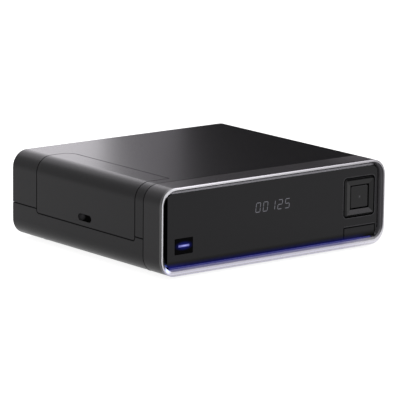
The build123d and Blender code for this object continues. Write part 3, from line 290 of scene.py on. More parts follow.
def inner_right(s):
    """Mask of the opening's inner wall at the right of the window, which gets a lighter grey as
    painted light.
    """
    x, y, _ = s.axes()
    within = s.between(s.inside_outline(), 0.0, 1.0, 1.0 * MM, 1.4 * MM)
    near_front = s.between(y, 1.0, 0.0, back(6.0), back(6.6))
    return s.product(within, near_front, s.between(x, 0.0, 1.0, 100 * MM, 106 * MM))


# The hatch's outline, in millimetres from the front plane, the underside and the middle
HATCH_MIDDLE = 100.5
HATCH_HALF = 66.0
HATCH_LOW = 24.0
HATCH_TOP_X = -80.75
HATCH_REAR_R = 9.0
HATCH_FRONT_R = 0.8
HATCH_LOW_R = 2.5
SHOULDER_HIGH = 60.0
SEAM_HIGH = 27.5
FAR = 400.0


def hatch_lines(s):
    """Mask of the seam round the hatch, on the side and over the shoulder."""
    x, y, z = s.axes()
    centre_y = back(HATCH_MIDDLE)
    half = HATCH_HALF * MM
    reach = FAR * MM
    side_centre = (0, centre_y, high(HATCH_LOW) + reach)
    top_centre = (HATCH_TOP_X * MM - reach, centre_y, 0)
    side = s.within(side_centre, (0, half, reach), HATCH_LOW_R * MM, (0, 1, 1))
    rear = s.within(top_centre, (reach, half, 0), HATCH_REAR_R * MM, (1, 1, 0))
    front = s.within(top_centre, (reach, half, 0), HATCH_FRONT_R * MM, (1, 1, 0))
    upper = s.between(z, 0.0, 1.0, high(SHOULDER_HIGH), high(SHOULDER_HIGH + 0.1))
    rearward = s.between(y, 0.0, 1.0, centre_y, centre_y + 0.1 * MM)
    rear_half = s.product(s.line(rear), rearward)
    front_half = s.product(s.line(front), s.opposite(rearward))
    over = s.product(s.math("ADD", rear_half, front_half), upper)
    below = s.product(s.line(side), s.opposite(upper))
    near = s.between(x, 1.0, 0.0, (HATCH_TOP_X + 1.0) * MM, (HATCH_TOP_X + 1.1) * MM)
    return s.product(s.math("ADD", over, below), near)


def level_seam(s):
    """Mask of the seam between base and cover, on the left side, clear of hatch and collar."""
    x, y, z = s.axes()
    past_hatch = s.away(y, back(HATCH_MIDDLE))
    beside = s.between(past_hatch, 0.0, 1.0, (HATCH_HALF - 0.1) * MM, (HATCH_HALF + 0.1) * MM)
    behind = s.between(y, 0.0, 1.0, back(COLLAR_DEPTH - 0.1), back(COLLAR_DEPTH))
    left = s.between(x, 1.0, 0.0, -100 * MM, -99 * MM)
    line = s.line(s.math("SUBTRACT", z, high(SEAM_HIGH)))
    return s.product(line, beside, behind, left)


def seam_lines(s):
    """Mask of the seams round the hatch, behind the collar and between base and cover."""
    _, y, _ = s.axes()
    collar = s.line(s.math("SUBTRACT", y, back(COLLAR_DEPTH)), 0.42 * MM)
    return s.math("MAXIMUM", hatch_lines(s), s.math("MAXIMUM", collar, level_seam(s)))


def casing_metal():
    """Dark satin paint over metal, with a very fine grain, and painted light and shade where marked
    below.
    """
    s = finish_of("casing_metal", CASING, 0.29, 0.0, 2600.0, 0.08, 0.025, 0.05)
    x, y, z = s.axes()
    collar = s.between(y, 1.0, 0.0, back(COLLAR_DEPTH), back(COLLAR_DEPTH + 0.4))
    # Painted light: the collar's top is lighter than its side, and lighter still towards the right as
    # a painted highlight
    top_light = s.blend(s.between(x, 0.0, 1.0, 60 * MM, 100 * MM), COLLAR_TOP_LIT, COLLAR_TOP_RIGHT_HIGHLIGHT)
    lit_top = s.between(z, 0.0, 1.0, high(62.0), high(68.0))
    paint = s.blend(collar, s.source("Base Color"), s.blend(lit_top, COLLAR_SIDE, top_light))
    # Painted shade: surfaces inside the casing's outline, such as inner walls and the scoop's floor,
    # go near black and dull; the seams join them as dark joints
    inside = s.between(s.inside_outline(), 0.0, 1.0, 0.25 * MM, 0.6 * MM)
    inside = s.product(inside, s.between(y, 1.0, 0.0, back(REAR_RIM - 0.3), back(REAR_RIM)))
    inside = s.math("MAXIMUM", inside, s.product(seam_lines(s), 0.85))
    paint = s.blend(inside, paint, SHADE_AND_SEAM_BLACK)
    # painted highlight: a lighter spot on the scoop's rear end wall
    scoop_end_highlight = s.spot((x_scoop, 5.0 * MM, high(SCOOP_HIGH)), 4.4 * MM)
    paint = s.blend(s.product(inside, scoop_end_highlight), paint, SCOOP_REAR_HIGHLIGHT)
    # painted light: the opening's right inner wall takes a lighter grey
    s.feed("Base Color", s.blend(inner_right(s), paint, INNER_WALL_LIGHT))
    s.feed("Roughness", s.math("ADD", s.source("Roughness"), s.product(inside, 0.45)))
    s.feed("Specular IOR Level", s.between(inside, CASING_GLOSS, 0.02, 0.0, 1.0))
    return s.material


def lower_lip(s, z):
    """Mask that fades out above the lip's lower edge."""
    return s.between(z, 1.0, 0.0, high(5.0), high(12.0))


def ring_paint(s, grain):
    """Silver of the lip with painted shade towards the right, painted blue light as lilac along its
    lower edge, and a darker band of painted shade between the painted highlight lines.
    """
    x, y, z = s.axes()
    silver = s.blend(grain, (0.84, 0.83, 0.87), (0.90, 0.89, 0.93))
    # painted shade: a darker silver towards the right, above the sill
    right_shade = s.blend(grain, (0.40, 0.39, 0.41), (0.46, 0.45, 0.47))
    rightward = s.between(x, 0.0, 1.0, -100 * MM, 110 * MM)
    above_sill = s.between(z, 0.0, 1.0, high(8.0), high(24.0))
    silver = s.blend(s.product(rightward, above_sill), silver, right_shade)
    # Painted blue light from the strip below: lilac on the lower face and a deeper lilac on the sill
    face = s.blend(grain, (0.72, 0.70, 0.80), (0.78, 0.76, 0.86))
    sill = s.blend(grain, (0.30, 0.29, 0.46), (0.35, 0.34, 0.52))
    # painted shade: a darker, greyer band between the two painted highlight lines
    shaded_band = s.between(s.away(z, high(1.45)), 0.0, 1.0, 0.25 * MM, 0.55 * MM)
    face = s.blend(shaded_band, (0.62, 0.61, 0.66), face)
    lilac = s.blend(s.between(y, 0.0, 1.0, back(0.0), back(0.8)), face, sill)
    low_edge = s.product(lower_lip(s, z), s.between(x, 1.0, 0.1, 70 * MM, 105 * MM))
    return s.blend(low_edge, silver, lilac)


def ring_flank(s, inset):
    """Mask of the lip's flanks, which are painted like the casing."""
    x, y, z = s.axes()
    left_shift = s.between(x, 0.42 * MM, 0.0, -113.2 * MM, -111.0 * MM)
    behind = s.between(s.math("ADD", y, left_shift), 0.0, 1.0, back(0.70), back(0.78))
    outer = s.between(inset, 1.0, 0.0, 0.4 * MM, 0.9 * MM)
    inner_side = s.between(z, 0.0, 1.0, high(9.0), high(14.0))
    flank = s.product(behind, s.math("MAXIMUM", outer, inner_side))
    deep = s.between(inset, 0.0, 1.0, 1.15 * MM, 1.35 * MM)
    lip_end = s.product(deep, s.between(x, 1.0, 0.0, -111 * MM, -109 * MM))
    return s.math("MAXIMUM", flank, lip_end)


def ring_light(s, inset):
    """Painted light in the ring's emission: on the sill, in the opening's lower left corner and as two
    painted highlight lines on the lip.
    """
    x, y, z = s.axes()
    on_sill = s.between(z, 1.0, 0.0, high(5.4), high(6.2))
    sill = s.product(on_sill, s.between(y, 0.0, 1.0, back(-0.5), back(2.8)))
    reach = s.between(x, 1.0, 0.0, 90 * MM, 102 * MM)
    corner = s.spot((-108.8 * MM, back(1.7), high(5.6)), 5.4 * MM)
    corner = s.product(corner, s.between(inset, 0.0, 1.0, 0.9 * MM, 1.5 * MM))
    face = s.product(s.between(y, 1.0, 0.0, back(0.75), back(0.95)), lower_lip(s, z))
    upper_highlight = s.product(s.line(s.math("SUBTRACT", z, high(2.1)), 0.42 * MM), UPPER_HIGHLIGHT)
    lower_highlight = s.between(z, LOWER_HIGHLIGHT, 0.0, high(0.75), high(1.0))
    lines = s.product(s.math("ADD", upper_highlight, lower_highlight), face)
    tint = s.blend(face, (0.12, 0.12, 0.50), (0.78, 0.76, 1.0))
    s.feed("Emission Color", s.blend(corner, tint, (0.30, 0.48, 1.0)))
    light = s.math("ADD", s.product(sill, reach, SILL_LIGHT, s.opposite(face)), lines)
    s.feed("Emission Strength", s.math("ADD", light, s.product(corner, CORNER_LIGHT)))


def ring_metal():
    """Silver lip and sill, with flanks painted like the casing, painted light on the opening's right
    inner wall, and painted blue light as lilac on its lower edge.
    """
    s = Shader("ring_metal")
    s.set(Specular_IOR_Level=0.6)
    grain = s.noise(1500.0, 3.0)
    inset = s.inside_outline()
    flank = ring_flank(s, inset)
    # painted light: the opening's right inner wall takes a lighter grey
    flank_paint = s.blend(inner_right(s), CASING, INNER_WALL_LIGHT)
    s.feed("Base Color", s.blend(flank, ring_paint(s, grain), flank_paint))
    s.feed("Metallic", s.between(flank, 0.35, 0.0, 0.0, 1.0))
    s.feed("Roughness", s.between(grain, 0.26, 0.36))
    ring_light(s, inset)
    return s.material


def blue_edge(s):
    """Painted blue light in the window's emission, climbing a little way up from the strip below it.
    """
    x, _, z = s.axes()
    climb = s.between(z, 1.0, 0.0, high(BLUE_EDGE_LOW), high(BLUE_EDGE_HIGH))
    left = s.between(x, 2.6, 1.0, -109 * MM, -84 * MM)
    right = s.between(x, 1.0, 0.0, 88 * MM, 98 * MM)
    glow = s.product(s.math("POWER", climb, 1.3), left, right, BLUE_LIGHT)
    corner = s.spot((-107.8 * MM, back(4.0), high(7.2)), 3.4 * MM)
    s.feed("Emission Color", s.blend(corner, (0.08, 0.095, 1.0), (0.35, 0.55, 1.0)))
    spot = s.product(s.math("POWER", corner, 2.0), BLUE_CORNER_GLOW)
    s.feed("Emission Strength", s.math("ADD", glow, spot))


def square_distance(s, centre):
    """Distance from a centre as squares round it, seen from the front."""
    x, _, z = s.axes()
    return s.math("MAXIMUM", s.away(x, centre.x), s.away(z, centre.z))


def flap_lines(s):
    """Masks of the dark gap round the flap and of the painted highlight line above it."""
    x, y, z = s.axes()
    a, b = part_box("usb_flap")
    front = s.between(y, 1.0, 0.0, back(3.6), back(3.8))
    gap = s.line(s.within((a + b) / 2, (b - a) / 2, 0.6 * MM), 0.5 * MM)
    above = s.line(s.math("SUBTRACT", z, b.z + 0.95 * MM), 0.35 * MM)
    across = s.line(s.math("SUBTRACT", x, (a.x + b.x) / 2), (b.x - a.x) / 2)
    return s.product(gap, front), s.product(above, across, front)


def window_plastic():
    """Clear-coated black plastic, with painted blue light along its lower edge and painted highlights
    on its top bevel, round the pad and above the flap.
    """
    s = Shader("window_plastic")
    s.set(Specular_Tint=(0.97, 0.96, 1.0, 1.0))
    black = s.blend(s.noise(45.0), (0.0022, 0.0022, 0.0026), (0.0032, 0.0032, 0.0036))
    _, y, z = s.axes()
    # painted highlight along the window's top bevel
    top_bevel_highlight = s.between(z, 0.0, 1.0, high(65.0), high(65.3))
    # painted highlight: a thin lighter line round the pad's opening and one above the flap
    pad = s.within(middle("nav_ring"), (PAD_HALF * MM, 0.0, PAD_HALF * MM), PAD_CORNER * MM)
    front = s.between(y, 1.0, 0.0, back(3.3), back(3.5))
    rim = s.product(s.between(pad, 0.0, 1.0, 0.0, 0.25 * MM), front)
    black = s.blend(rim, black, PAD_AND_FLAP_HIGHLIGHT)
    gap, light = flap_lines(s)
    black = s.blend(light, black, PAD_AND_FLAP_HIGHLIGHT)
    s.feed("Base Color", s.blend(top_bevel_highlight, black, TOP_BEVEL_HIGHLIGHT))
    s.feed("Roughness", s.between(s.noise(300.0, 3.0), 0.10, 0.14))
    gloss = s.between(z, 0.04, WINDOW_GLOSS, high(8.0), high(12.0))
    s.feed("Specular IOR Level", s.product(gloss, s.between(gap, 1.0, 0.1, 0.0, 1.0)))
    blue_edge(s)
    return s.material


def key_plastic(name, gloss, rough):
    """Black satin plastic of the keys, with painted blue light round the lit bar."""
    s = finish_of(name, (0.0035, 0.0035, 0.004), rough, 0.0, 1500.0, 0.1, 0.03, 0.02)
    s.set(Specular_IOR_Level=gloss, Emission_Color=(0.04, 0.06, 0.9, 1.0))
    lamp = middle("power_lamp")
    squeeze = 0.42
    squeezed = s.add("ShaderNodeMapping", vector_type="POINT")
    squeezed.inputs["Location"].default_value = (-lamp.x * squeeze, -lamp.y, -lamp.z)
    squeezed.inputs["Scale"].default_value = (squeeze, 1.0, 1.0)
    s.link(s.place(), squeezed.inputs["Vector"])
    away = s.vector("LENGTH", squeezed.outputs["Vector"])
    # painted light: a blue glow on the keys round the lit bar
    halo = s.between(away, HALO_LIGHT, 0.0, 0.8 * MM, 4.2 * MM)
    halo.node.interpolation_type = "SMOOTHSTEP"
    s.feed("Emission Strength", halo)
    _, y, _ = s.axes()
    deep = s.between(y, 0.0, 0.7, back(3.1), back(3.3))
    s.feed("Roughness", s.math("ADD", s.source("Roughness"), deep))
    return s


def rocker_plastic():
    """Key plastic whose bore is painted black as shade and whose lower slope is duller."""
    s = key_plastic("rocker_plastic", KEY_GLOSS, KEY_ROUGH)
    _, _, z = s.axes()
    centre = middle("nav_ring")
    # painted shade: the bore round the centre key goes near black with no gloss
    bore = s.between(square_distance(s, centre), 1.0, 0.0, 9.85 * MM, 10.05 * MM)
    slope = s.between(z, 0.20, KEY_GLOSS, centre.z - 10.5 * MM, centre.z - 9.5 * MM)
    s.feed("Specular IOR Level", s.product(slope, s.opposite(bore)))
    s.feed("Base Color", s.blend(bore, s.source("Base Color"), (0.0004, 0.0004, 0.0004)))
    return s.material


def ok_plastic():
    """Key plastic with a small pale dot in its middle."""
    s = key_plastic("ok_plastic", KEY_GLOSS, KEY_ROUGH)
    dot = s.between(square_distance(s, middle("ok_button")), 1.0, 0.0, 0.5 * MM, 1.1 * MM)
    s.feed("Base Color", s.blend(dot, s.source("Base Color"), (0.09, 0.09, 0.095)))
    return s.material


def power_key_plastic():
    """Dull key plastic with painted shade that darkens it at the key's edge, next to the gap round it.
    """
    s = key_plastic("power_key_plastic", POWER_KEY_GLOSS, 0.35)
    a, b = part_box("power_button")
    inset = s.within(middle("power_button"), (b - a) / 2, 0.5 * MM)
    # painted shade: the key's edge goes near black with no gloss, next to the gap round it
    edge = s.between(inset, 1.0, 0.0, 0.45 * MM, 0.7 * MM)
    s.feed("Specular IOR Level", s.between(edge, POWER_KEY_GLOSS, 0.0, 0.0, 1.0))
    s.feed("Base Color", s.blend(edge, s.source("Base Color"), (0.0006, 0.0006, 0.0007)))
    return s.material


def power_light():
    """Lit bar: pale in its middle, deep blue towards its rim."""
    s = Shader("lamp_plastic")
    s.set(Roughness=0.3)
    s.feed("Base Color", s.blend(s.noise(60.0, 3.0), (0.10, 0.10, 0.26), (0.13, 0.13, 0.32)))
    centre = middle("power_lamp")
    x, _, z = s.axes()
    tall = s.between(s.away(z, centre.z), 1.0, 0.0, 0.2 * MM, 0.75 * MM)
    wide = s.between(s.away(x, centre.x + 0.6 * MM), 1.0, 0.25, 0.8 * MM, 4.2 * MM)
    s.feed("Emission Color", s.blend(s.product(tall, wide), (0.012, 0.018, 0.16), (0.30, 0.31, 0.74)))
    s.set(Emission_Strength=1.0)
    return s.material


def lit(name, color, strength):
    """Clear plastic with a lamp behind it."""
    s = finish_of(name, tuple(0.5 * c for c in color), 0.3)
    s.set(Emission_Color=(*color, 1.0), Emission_Strength=strength)
    return s.material


def plain(name, color, rough, metal=0.0, **more):
    """Material of a plain finish."""
    return finish_of(name, color, rough, metal, **more).material


finishes = {
    "cover_metal": casing_metal(),
    "ring_metal": ring_metal(),
    "window_plastic": window_plastic(),
    "key_plastic": key_plastic("key_plastic", KEY_GLOSS, KEY_ROUGH).material,
    "lamp_plastic": power_light(),
    "light_plastic": lit("light_plastic", (0.02, 0.021, 0.14), 1.0),
    "black_plastic": plain("black_plastic", (0.012, 0.012, 0.012), 0.55, bump=0.2),
    "board_green": plain("board_green", (0.012, 0.09, 0.035), 0.35),
    "steel_bright": plain("steel_bright", (0.55, 0.56, 0.57), 0.28, 1.0),
    "steel_sheet": plain("steel_sheet", (0.45, 0.46, 0.48), 0.38, 1.0),
    "screw_steel": plain("screw_steel", (0.14, 0.14, 0.145), 0.35, 1.0),
    "drive_alloy": plain("drive_alloy", (0.32, 0.33, 0.34), 0.45, 1.0, bump=0.2),
    "foot_rubber": plain("foot_rubber", (0.010, 0.010, 0.010), 0.8, bump=0.3),
    "display_glass": plain("display_glass", (0.008, 0.010, 0.014), 0.08),
    "sink_alloy": plain("sink_alloy", (0.03, 0.03, 0.032), 0.4, 0.8),
    "component_black": plain("component_black", (0.015, 0.015, 0.017), 0.5),
    "cable_grey": plain("cable_grey", (0.42, 0.42, 0.43), 0.5),
    "socket_steel": plain("socket_steel", (0.58, 0.58, 0.59), 0.25, 1.0),
}

slot_of = {part["node"]: part["material_slot"] for part in frame["record"]["subparts"]}
for name, thing in node.items():
    thing.data.materials.clear()
    thing.data.materials.append(finishes[slot_of[name]])


own_finish = {
    "power_button": power_key_plastic(),
    "ok_button": ok_plastic(),
    "nav_ring": rocker_plastic(),
}
for name, finish in own_finish.items():
    node[name].data.materials[0] = finish

# ------------------------------------------------------------------ small pieces
Y_AXIS = Vector((0, 1, 0))
Z_AXIS = Vector((0, 0, 1))


def slab(made, low_corner, high_corner, bevel=0.1 * MM):
    """Box with bevelled edges, from its lowest to its highest corner."""
    a, b = Vector(low_corner), Vector(high_corner)
    cube = bmesh.ops.create_cube(made, size=1.0)["verts"]
    bmesh.ops.scale(made, vec=b - a, verts=cube)
    bmesh.ops.translate(made, vec=(a + b) / 2, verts=cube)
    edges = {edge for vert in cube for edge in vert.link_edges}
    reach = min(bevel, min(b - a) * 0.3)
    bmesh.ops.bevel(made, geom=list(edges), offset=reach, segments=2, affect="EDGES", profile=0.5)


def turned(made, base, axis, profile, sides=40):
    """Turned shape: profile is (radius, distance along the axis) points, in millimetres."""
    aim = Z_AXIS.rotation_difference(Vector(axis)).to_matrix()
    rings = []
    for radius, along in [(r * MM, d * MM) for r, d in profile]:
        if radius == 0:
            rings.append([made.verts.new(Vector(base) + aim @ Vector((0, 0, along)))])
            continue
        spots = [2 * pi * i / sides for i in range(sides)]
        place = [Vector((radius * cos(t), radius * sin(t), along)) for t in spots]
        rings.append([made.verts.new(Vector(base) + aim @ spot) for spot in place])
    for first, second in zip(rings, rings[1:]):
        for i in range(sides):
            j = (i + 1) % sides
            if len(first) == 1:
                made.faces.new((first[0], second[j], second[i]))
            elif len(second) == 1:
                made.faces.new((first[i], first[j], second[0]))
            else:
                made.faces.new((first[i], first[j], second[j], second[i]))


def prism(made, outline, depth):
    """Plate facing the front, from an outline of (x, z) points at its front and its depth along +Y."""
    y = outline[0][1]
    front = [made.verts.new(point) for point in outline]
    rear = [made.verts.new((point[0], y + depth, point[2])) for point in outline]
    made.faces.new(front)
    made.faces.new(list(reversed(rear)))
    for i in range(len(front)):
        j = (i + 1) % len(front)
        made.faces.new((front[j], front[i], rear[i], rear[j]))


def piece(name, body, material, fill):
    """Mesh piece that rides on a body; fill adds its geometry to an empty bmesh."""
    made = bmesh.new()
    fill(made)
    bmesh.ops.recalc_face_normals(made, faces=made.faces)
    mesh = bpy.data.meshes.new(name)
    made.to_mesh(mesh)
    made.free()
    for face in mesh.polygons:
        face.use_smooth = True
    mesh.set_sharp_from_angle(angle=radians(35))
    mesh.materials.append(material)
    obj = bpy.data.objects.new(name, mesh)
    bpy.context.collection.objects.link(obj)
    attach(obj, body)


# Segments of a digit: (start, end) in shares of its width and height, and the digits that light them
SEGMENTS = (
    ((0, 1), (1, 1), "02356789"),
    ((1, 1), (1, 0.5), "01234789"),
    ((1, 0.5), (1, 0), "013456789"),
    ((0, 0), (1, 0), "0235689"),
    ((0, 0.5), (0, 0), "0268"),
    ((0, 1), (0, 0.5), "045689"),
    ((0, 0.5), (1, 0.5), "2345689"),
)
DISPLAY_TEXT = "00125"
DISPLAY_START = -18.6
DISPLAY_PITCH = 7.46
DISPLAY_LOW = 40.4
DIGIT_WIDE = 4.3
DIGIT_TALL = 7.4
DIGIT_LEAN = 0.9
SEGMENT_WIDE = 0.62
SEGMENT_GAP = 0.5
FILM = 0.04 * MM


def segment(made, start, end):
    """One lit segment, a thin pointed bar just in front of the window."""
    along = (end - start).normalized()
    across = Vector((-along.y, along.x)) * SEGMENT_WIDE / 2
    a, b = start + along * SEGMENT_GAP, end - along * SEGMENT_GAP
    tip = along * SEGMENT_WIDE / 2
    flat = (a - tip, a + across, b + across, b + tip, b - across, a - across)
    prism(made, [Vector((point.x * MM, panel_y - FILM, high(point.y))) for point in flat], FILM * 0.9)


def display_digits(made):
    """Digits of the display, as separate lit segments."""
    for place, digit in enumerate(DISPLAY_TEXT):
        left = DISPLAY_START + DISPLAY_PITCH * place
        for start, end, users in SEGMENTS:
            if digit not in users:
                continue
            ends = []
            for across, up in (start, end):
                lean = DIGIT_LEAN * up
                ends.append(Vector((left + DIGIT_WIDE * across + lean, DISPLAY_LOW + DIGIT_TALL * up)))
            segment(made, *ends)


ROLL = 2.8
ROLL_START = -107.85
PANEL_LEFT = -110.65
PANEL_CORNER = 10.1
PANEL_LOW = 6.2
PANEL_HIGH = 66.4
BORDER_WIDE = 4.5
BORDER_LOW = 10.5
BORDER_HIGH = 62.5
BORDER_ROWS = 40
BORDER_STEPS = 8


def border_row(height):
    """Points across the window's left border at one height, just in front of its rolled edge."""
    past = max(0.0, PANEL_LOW + PANEL_CORNER - height, height - PANEL_HIGH + PANEL_CORNER)
    outline = PANEL_LEFT + PANEL_CORNER - (PANEL_CORNER ** 2 - past ** 2) ** 0.5
    first = max(outline + 1.4, PANEL_LEFT + 0.7) if past else PANEL_LEFT + 0.7
    last = max(PANEL_LEFT + BORDER_WIDE, outline + 2.2)
    row = []
    for step in range(BORDER_STEPS + 1):
        x = first + (last - first) * step / BORDER_STEPS
        sink = ROLL - (ROLL ** 2 - min(0.0, x - ROLL_START) ** 2) ** 0.5
        row.append(Vector((x * MM, back(3.2 + sink) - FILM, high(height))))
    return row


def window_edge_dark_reflection(made):
    """Black sheet that follows the window's rolled left edge, as a painted dark reflection on that
    edge.
    """
    tall = BORDER_HIGH - BORDER_LOW
    heights = [BORDER_LOW + tall * i / BORDER_ROWS for i in range(BORDER_ROWS + 1)]
    rows = [[made.verts.new(point) for point in border_row(height)] for height in heights]
    for below, above in zip(rows, rows[1:]):
        for i in range(len(below) - 1):
            made.faces.new((below[i], below[i + 1], above[i + 1], above[i]))
    shell_faces = list(made.faces)
    bmesh.ops.recalc_face_normals(made, faces=shell_faces)
    bmesh.ops.solidify(made, geom=shell_faces, thickness=-FILM * 0.6)


# Rear sockets: places follow the boxes of their nodes
rear_face = top("rear_panel").y
board_face = top("main_board").z
video_middle = board_face + 3.3 * MM
PORT_LEVELS = (0.0, 8.3)
PHONO_PITCH = 14.0
PHONO_HIGH = 14.0
REAR_SCREW_LOW = 12.0
REAR_SCREW_HIGH = 64.0
REAR_SCREW_X = 45.0
FAN_SCREW_OUT = 16.0


def phono_collar(x):
    """Coloured plastic collar at the root of one phono sleeve."""
    def fill(made):
        profile = ((4.25, 0), (5.4, 0), (5.4, 1.2), (5.1, 1.5), (4.5, 1.5), (4.25, 1.3), (4.25, 0))
        turned(made, (x, rear_face, high(PHONO_HIGH)), Y_AXIS, profile)
    return fill


def cross_recess(made, x, z, y, span=1.7 * MM):
    """Driver recess drawn as a thin dark cross on a screw head: painted shade where the hollow is."""
    arm = 0.42 * MM / 2
    for wide, tall in ((span, arm), (arm, span)):
        slab(made, (x - wide, y, z - tall), (x + wide, y + 0.05 * MM, z + tall), 0.01 * MM)


def rear_crosses(made):
    """Recesses of the rear panel's screws and of the fan's screws."""
    face = top("rear_screws").y
    side = top("rear_screws").x - 2.2 * MM
    for x in (-side, side):
        cross_recess(made, x, high(REAR_SCREW_LOW), face)
    for x in (-REAR_SCREW_X * MM, REAR_SCREW_X * MM):
        cross_recess(made, x, high(REAR_SCREW_HIGH), face)
    fan = middle("fan_screws")
    out = FAN_SCREW_OUT * MM
    for dx in (-out, out):
        for dz in (-out, out):
            cross_recess(made, fan.x + dx, fan.z + dz, face)


def bar(made, socket, shift, half_wide, depths, base, heights, bevel):
    """Flat bar in a socket, in millimetres beside its middle, behind its face and above a base."""
    x = middle(socket).x + shift * MM
    y = top(socket).y
    low_corner = (x - half_wide * MM, y - depths[0] * MM, base + heights[0] * MM)
    high_corner = (x + half_wide * MM, y - depths[1] * MM, base + heights[1] * MM)
    slab(made, low_corner, high_corner, bevel * MM)


def port_middle(level):
    """Height of the middle of one of the stacked ports."""
    return board_face + 0.2 * MM + 3.55 * MM + level * MM


def jack_lamp(side):
    """Window of one signal lamp in the network jack's face."""
    def fill(made):
        base = board_face + 2.6 * MM
        bar(made, "ethernet_jack", side * 6.95, 0.75, (0.1, -0.12), base, (0.0, 2.2), 0.15)
    return fill


def contacts(made):
    """Gold contacts of the network jack, the ports, the disk socket and the video socket."""
    for i in range(8):
        shift = 1.02 * (i - 3.5)
        bar(made, "ethernet_jack", shift, 0.26, (12.4, 2.9), board_face, (10.45, 11.2), 0.06)
    for level in PORT_LEVELS:
        for shift in (-3.5, -1.1, 1.1, 3.5):
            bar(made, "usb_sockets", shift, 0.5, (9.0, 1.6), port_middle(level), (-0.04, 0.12), 0.03)
    for i in range(7):
        bar(made, "esata_socket", 1.1 * (i - 3), 0.3, (7.0, 1.3), board_face, (3.5, 3.66), 0.03)
    for i in range(9):
        bar(made, "hdmi_socket", 1.1 * (i - 4), 0.25, (7.5, 1.2), video_middle, (0.42, 0.54), 0.03)


def port_tongues(made):
    """Black plastic tongues of the stacked ports and the video socket, over their steel cores."""
    for level in PORT_LEVELS:
        bar(made, "usb_sockets", 0.0, 5.7, (13.5, 0.9), port_middle(level), (0.02, 2.0), 0.2)
    bar(made, "hdmi_socket", 0.0, 5.6, (7.9, 0.9), video_middle, (-0.55, 0.5), 0.12)


def optical_shutter(made):
    """Sprung shutter just inside the optical socket's mouth."""
    bar(made, "optical_socket", 0.0, 3.1, (2.9, 2.3), board_face, (2.1, 8.1), 0.25)
    bar(made, "optical_socket", 0.0, 2.2, (2.35, 2.1), board_face, (3.0, 7.2), 0.1)


def inlet_pin(made):
    """Plated sleeve of the power inlet's centre pin."""
    x = middle("dc_jack").x
    y = top("dc_jack").y
    profile = ((1.06, 0), (1.06, 7.6), (0.8, 8.2), (0.35, 8.45), (0, 8.5))
    turned(made, (x, y - 9.3 * MM, board_face + 6.4 * MM), Y_AXIS, profile, 24)


# Drive in the drawer
lid_low, lid_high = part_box("drive_lid")


def star_screws(made):
    """Small screws round the drive's lid, and a cap at its spindle."""
    x0, x1 = lid_low.x + 5 * MM, lid_high.x - 5 * MM
    y0, y1 = lid_low.y + 5 * MM, lid_high.y - 5 * MM
    xm = (x0 + x1) / 2
    spindle = (lid_low.x + 49 * MM, (lid_low.y + lid_high.y) / 2)
    places = [(x0, y0), (xm, y0), (x1, y0), (x0, y1), (xm, y1), (x1, y1)]
    for x, y in places:
        profile = ((2.2, 0), (2.2, 0.55), (2.0, 0.75), (1.1, 0.75), (0.9, 0.25), (0, 0.25))
        turned(made, (x, y, lid_high.z - 0.55 * MM), Z_AXIS, profile, 24)
    profile = ((9.5, 0), (9.5, 0.18), (9.2, 0.22), (7.6, 0.22),
               (7.4, 0.08), (4.0, 0.08), (3.8, 0.2), (0, 0.2))
    turned(made, (*spindle, lid_high.z - 0.05 * MM), Z_AXIS, profile, 48)


def drive_label(made):
    """Blank paper label on the drive's lid."""
    x0 = lid_low.x + 64 * MM
    low_corner = (x0, lid_low.y + 14 * MM, lid_high.z - 0.02 * MM)
    high_corner = (x0 + 27 * MM, lid_high.y - 14 * MM, lid_high.z + 0.1 * MM)
    slab(made, low_corner, high_corner, 0.03 * MM)


def label_bars(made):
    """Plain grey bars printed on the label, no lettering."""
    x0 = lid_low.x + 67 * MM
    y0 = lid_low.y + 18 * MM
    z = lid_high.z + 0.1 * MM
    for row in range(5):
        for start, span in ((0, 22), (25, 14), (42, 19)):
            y = y0 + start * MM
            high_corner = (x0 + (4.4 * row + 1.3) * MM, y + span * MM, z + 0.02 * MM)
            slab(made, (x0 + 4.4 * row * MM, y, z), high_corner, 0.005 * MM)


# Main board: places in millimetres, as on the board
MEMORY = ((18.0, 66.0), (18.0, 82.0), (18.0, 98.0), (-56.0, 82.0))
CAPACITORS = ((-84.0, 136.0), (-74.0, 136.0), (-64.0, 136.0),
              (72.0, 130.0), (72.0, 142.0), (84.0, 130.0))


def chip_legs(made):
    """Rows of tinned legs on the memory chips and the power chip."""
    chips = [(x, depth, 9.0, 13.0, 14) for x, depth in MEMORY] + [(72.0, 106.0, 15.0, 17.0, 16)]
    for x, depth, wide, deep, count in chips:
        for side in (-1, 1):
            for i in range(count):
                y = back(depth + (deep - 1.5) * (i / (count - 1) - 0.5))
                inner = x + side * (wide / 2 - 0.1)
                outer = x + side * (wide / 2 + 1.0)
                ends = sorted((inner * MM, outer * MM))
                high_corner = (ends[1], y + 0.18 * MM, board_face + 0.3 * MM)
                slab(made, (ends[0], y - 0.18 * MM, board_face), high_corner, 0.05 * MM)


def capacitor_tops(made):
    """Bare aluminium tops of the capacitors, each with a scored cross."""
    for x, depth in CAPACITORS:
        place = (x * MM, back(depth), board_face + 10.85 * MM)
        profile = ((3.6, 0), (3.6, 0.2), (3.3, 0.3), (0, 0.3))
        turned(made, place, Z_AXIS, profile, 32)


def capacitor_scores(made):
    """Scored crosses on the capacitors' tops, as thin dark bars of painted shade."""
    for x, depth in CAPACITORS:
        z = board_face + 11.15 * MM
        for dx, dy in ((2.6, 0.16), (0.16, 2.6)):
            low_corner = (x * MM - dx * MM, back(depth) - dy * MM, z)
            slab(made, low_corner, (x * MM + dx * MM, back(depth) + dy * MM, z + 0.03 * MM), 0.01 * MM)


def foot_rims(made):
    """Raised rim round each rubber foot."""
    for x in (-88.25, 88.25):
        for y in (-64.5, 75.5):
            profile = ((8.3, 0.25), (8.75, 0.05), (9.15, 0.3), (9.25, 1.2), (9.0, 2.0), (8.5, 2.0))
            turned(made, (x * MM, y * MM, 0), Z_AXIS, profile, 56)


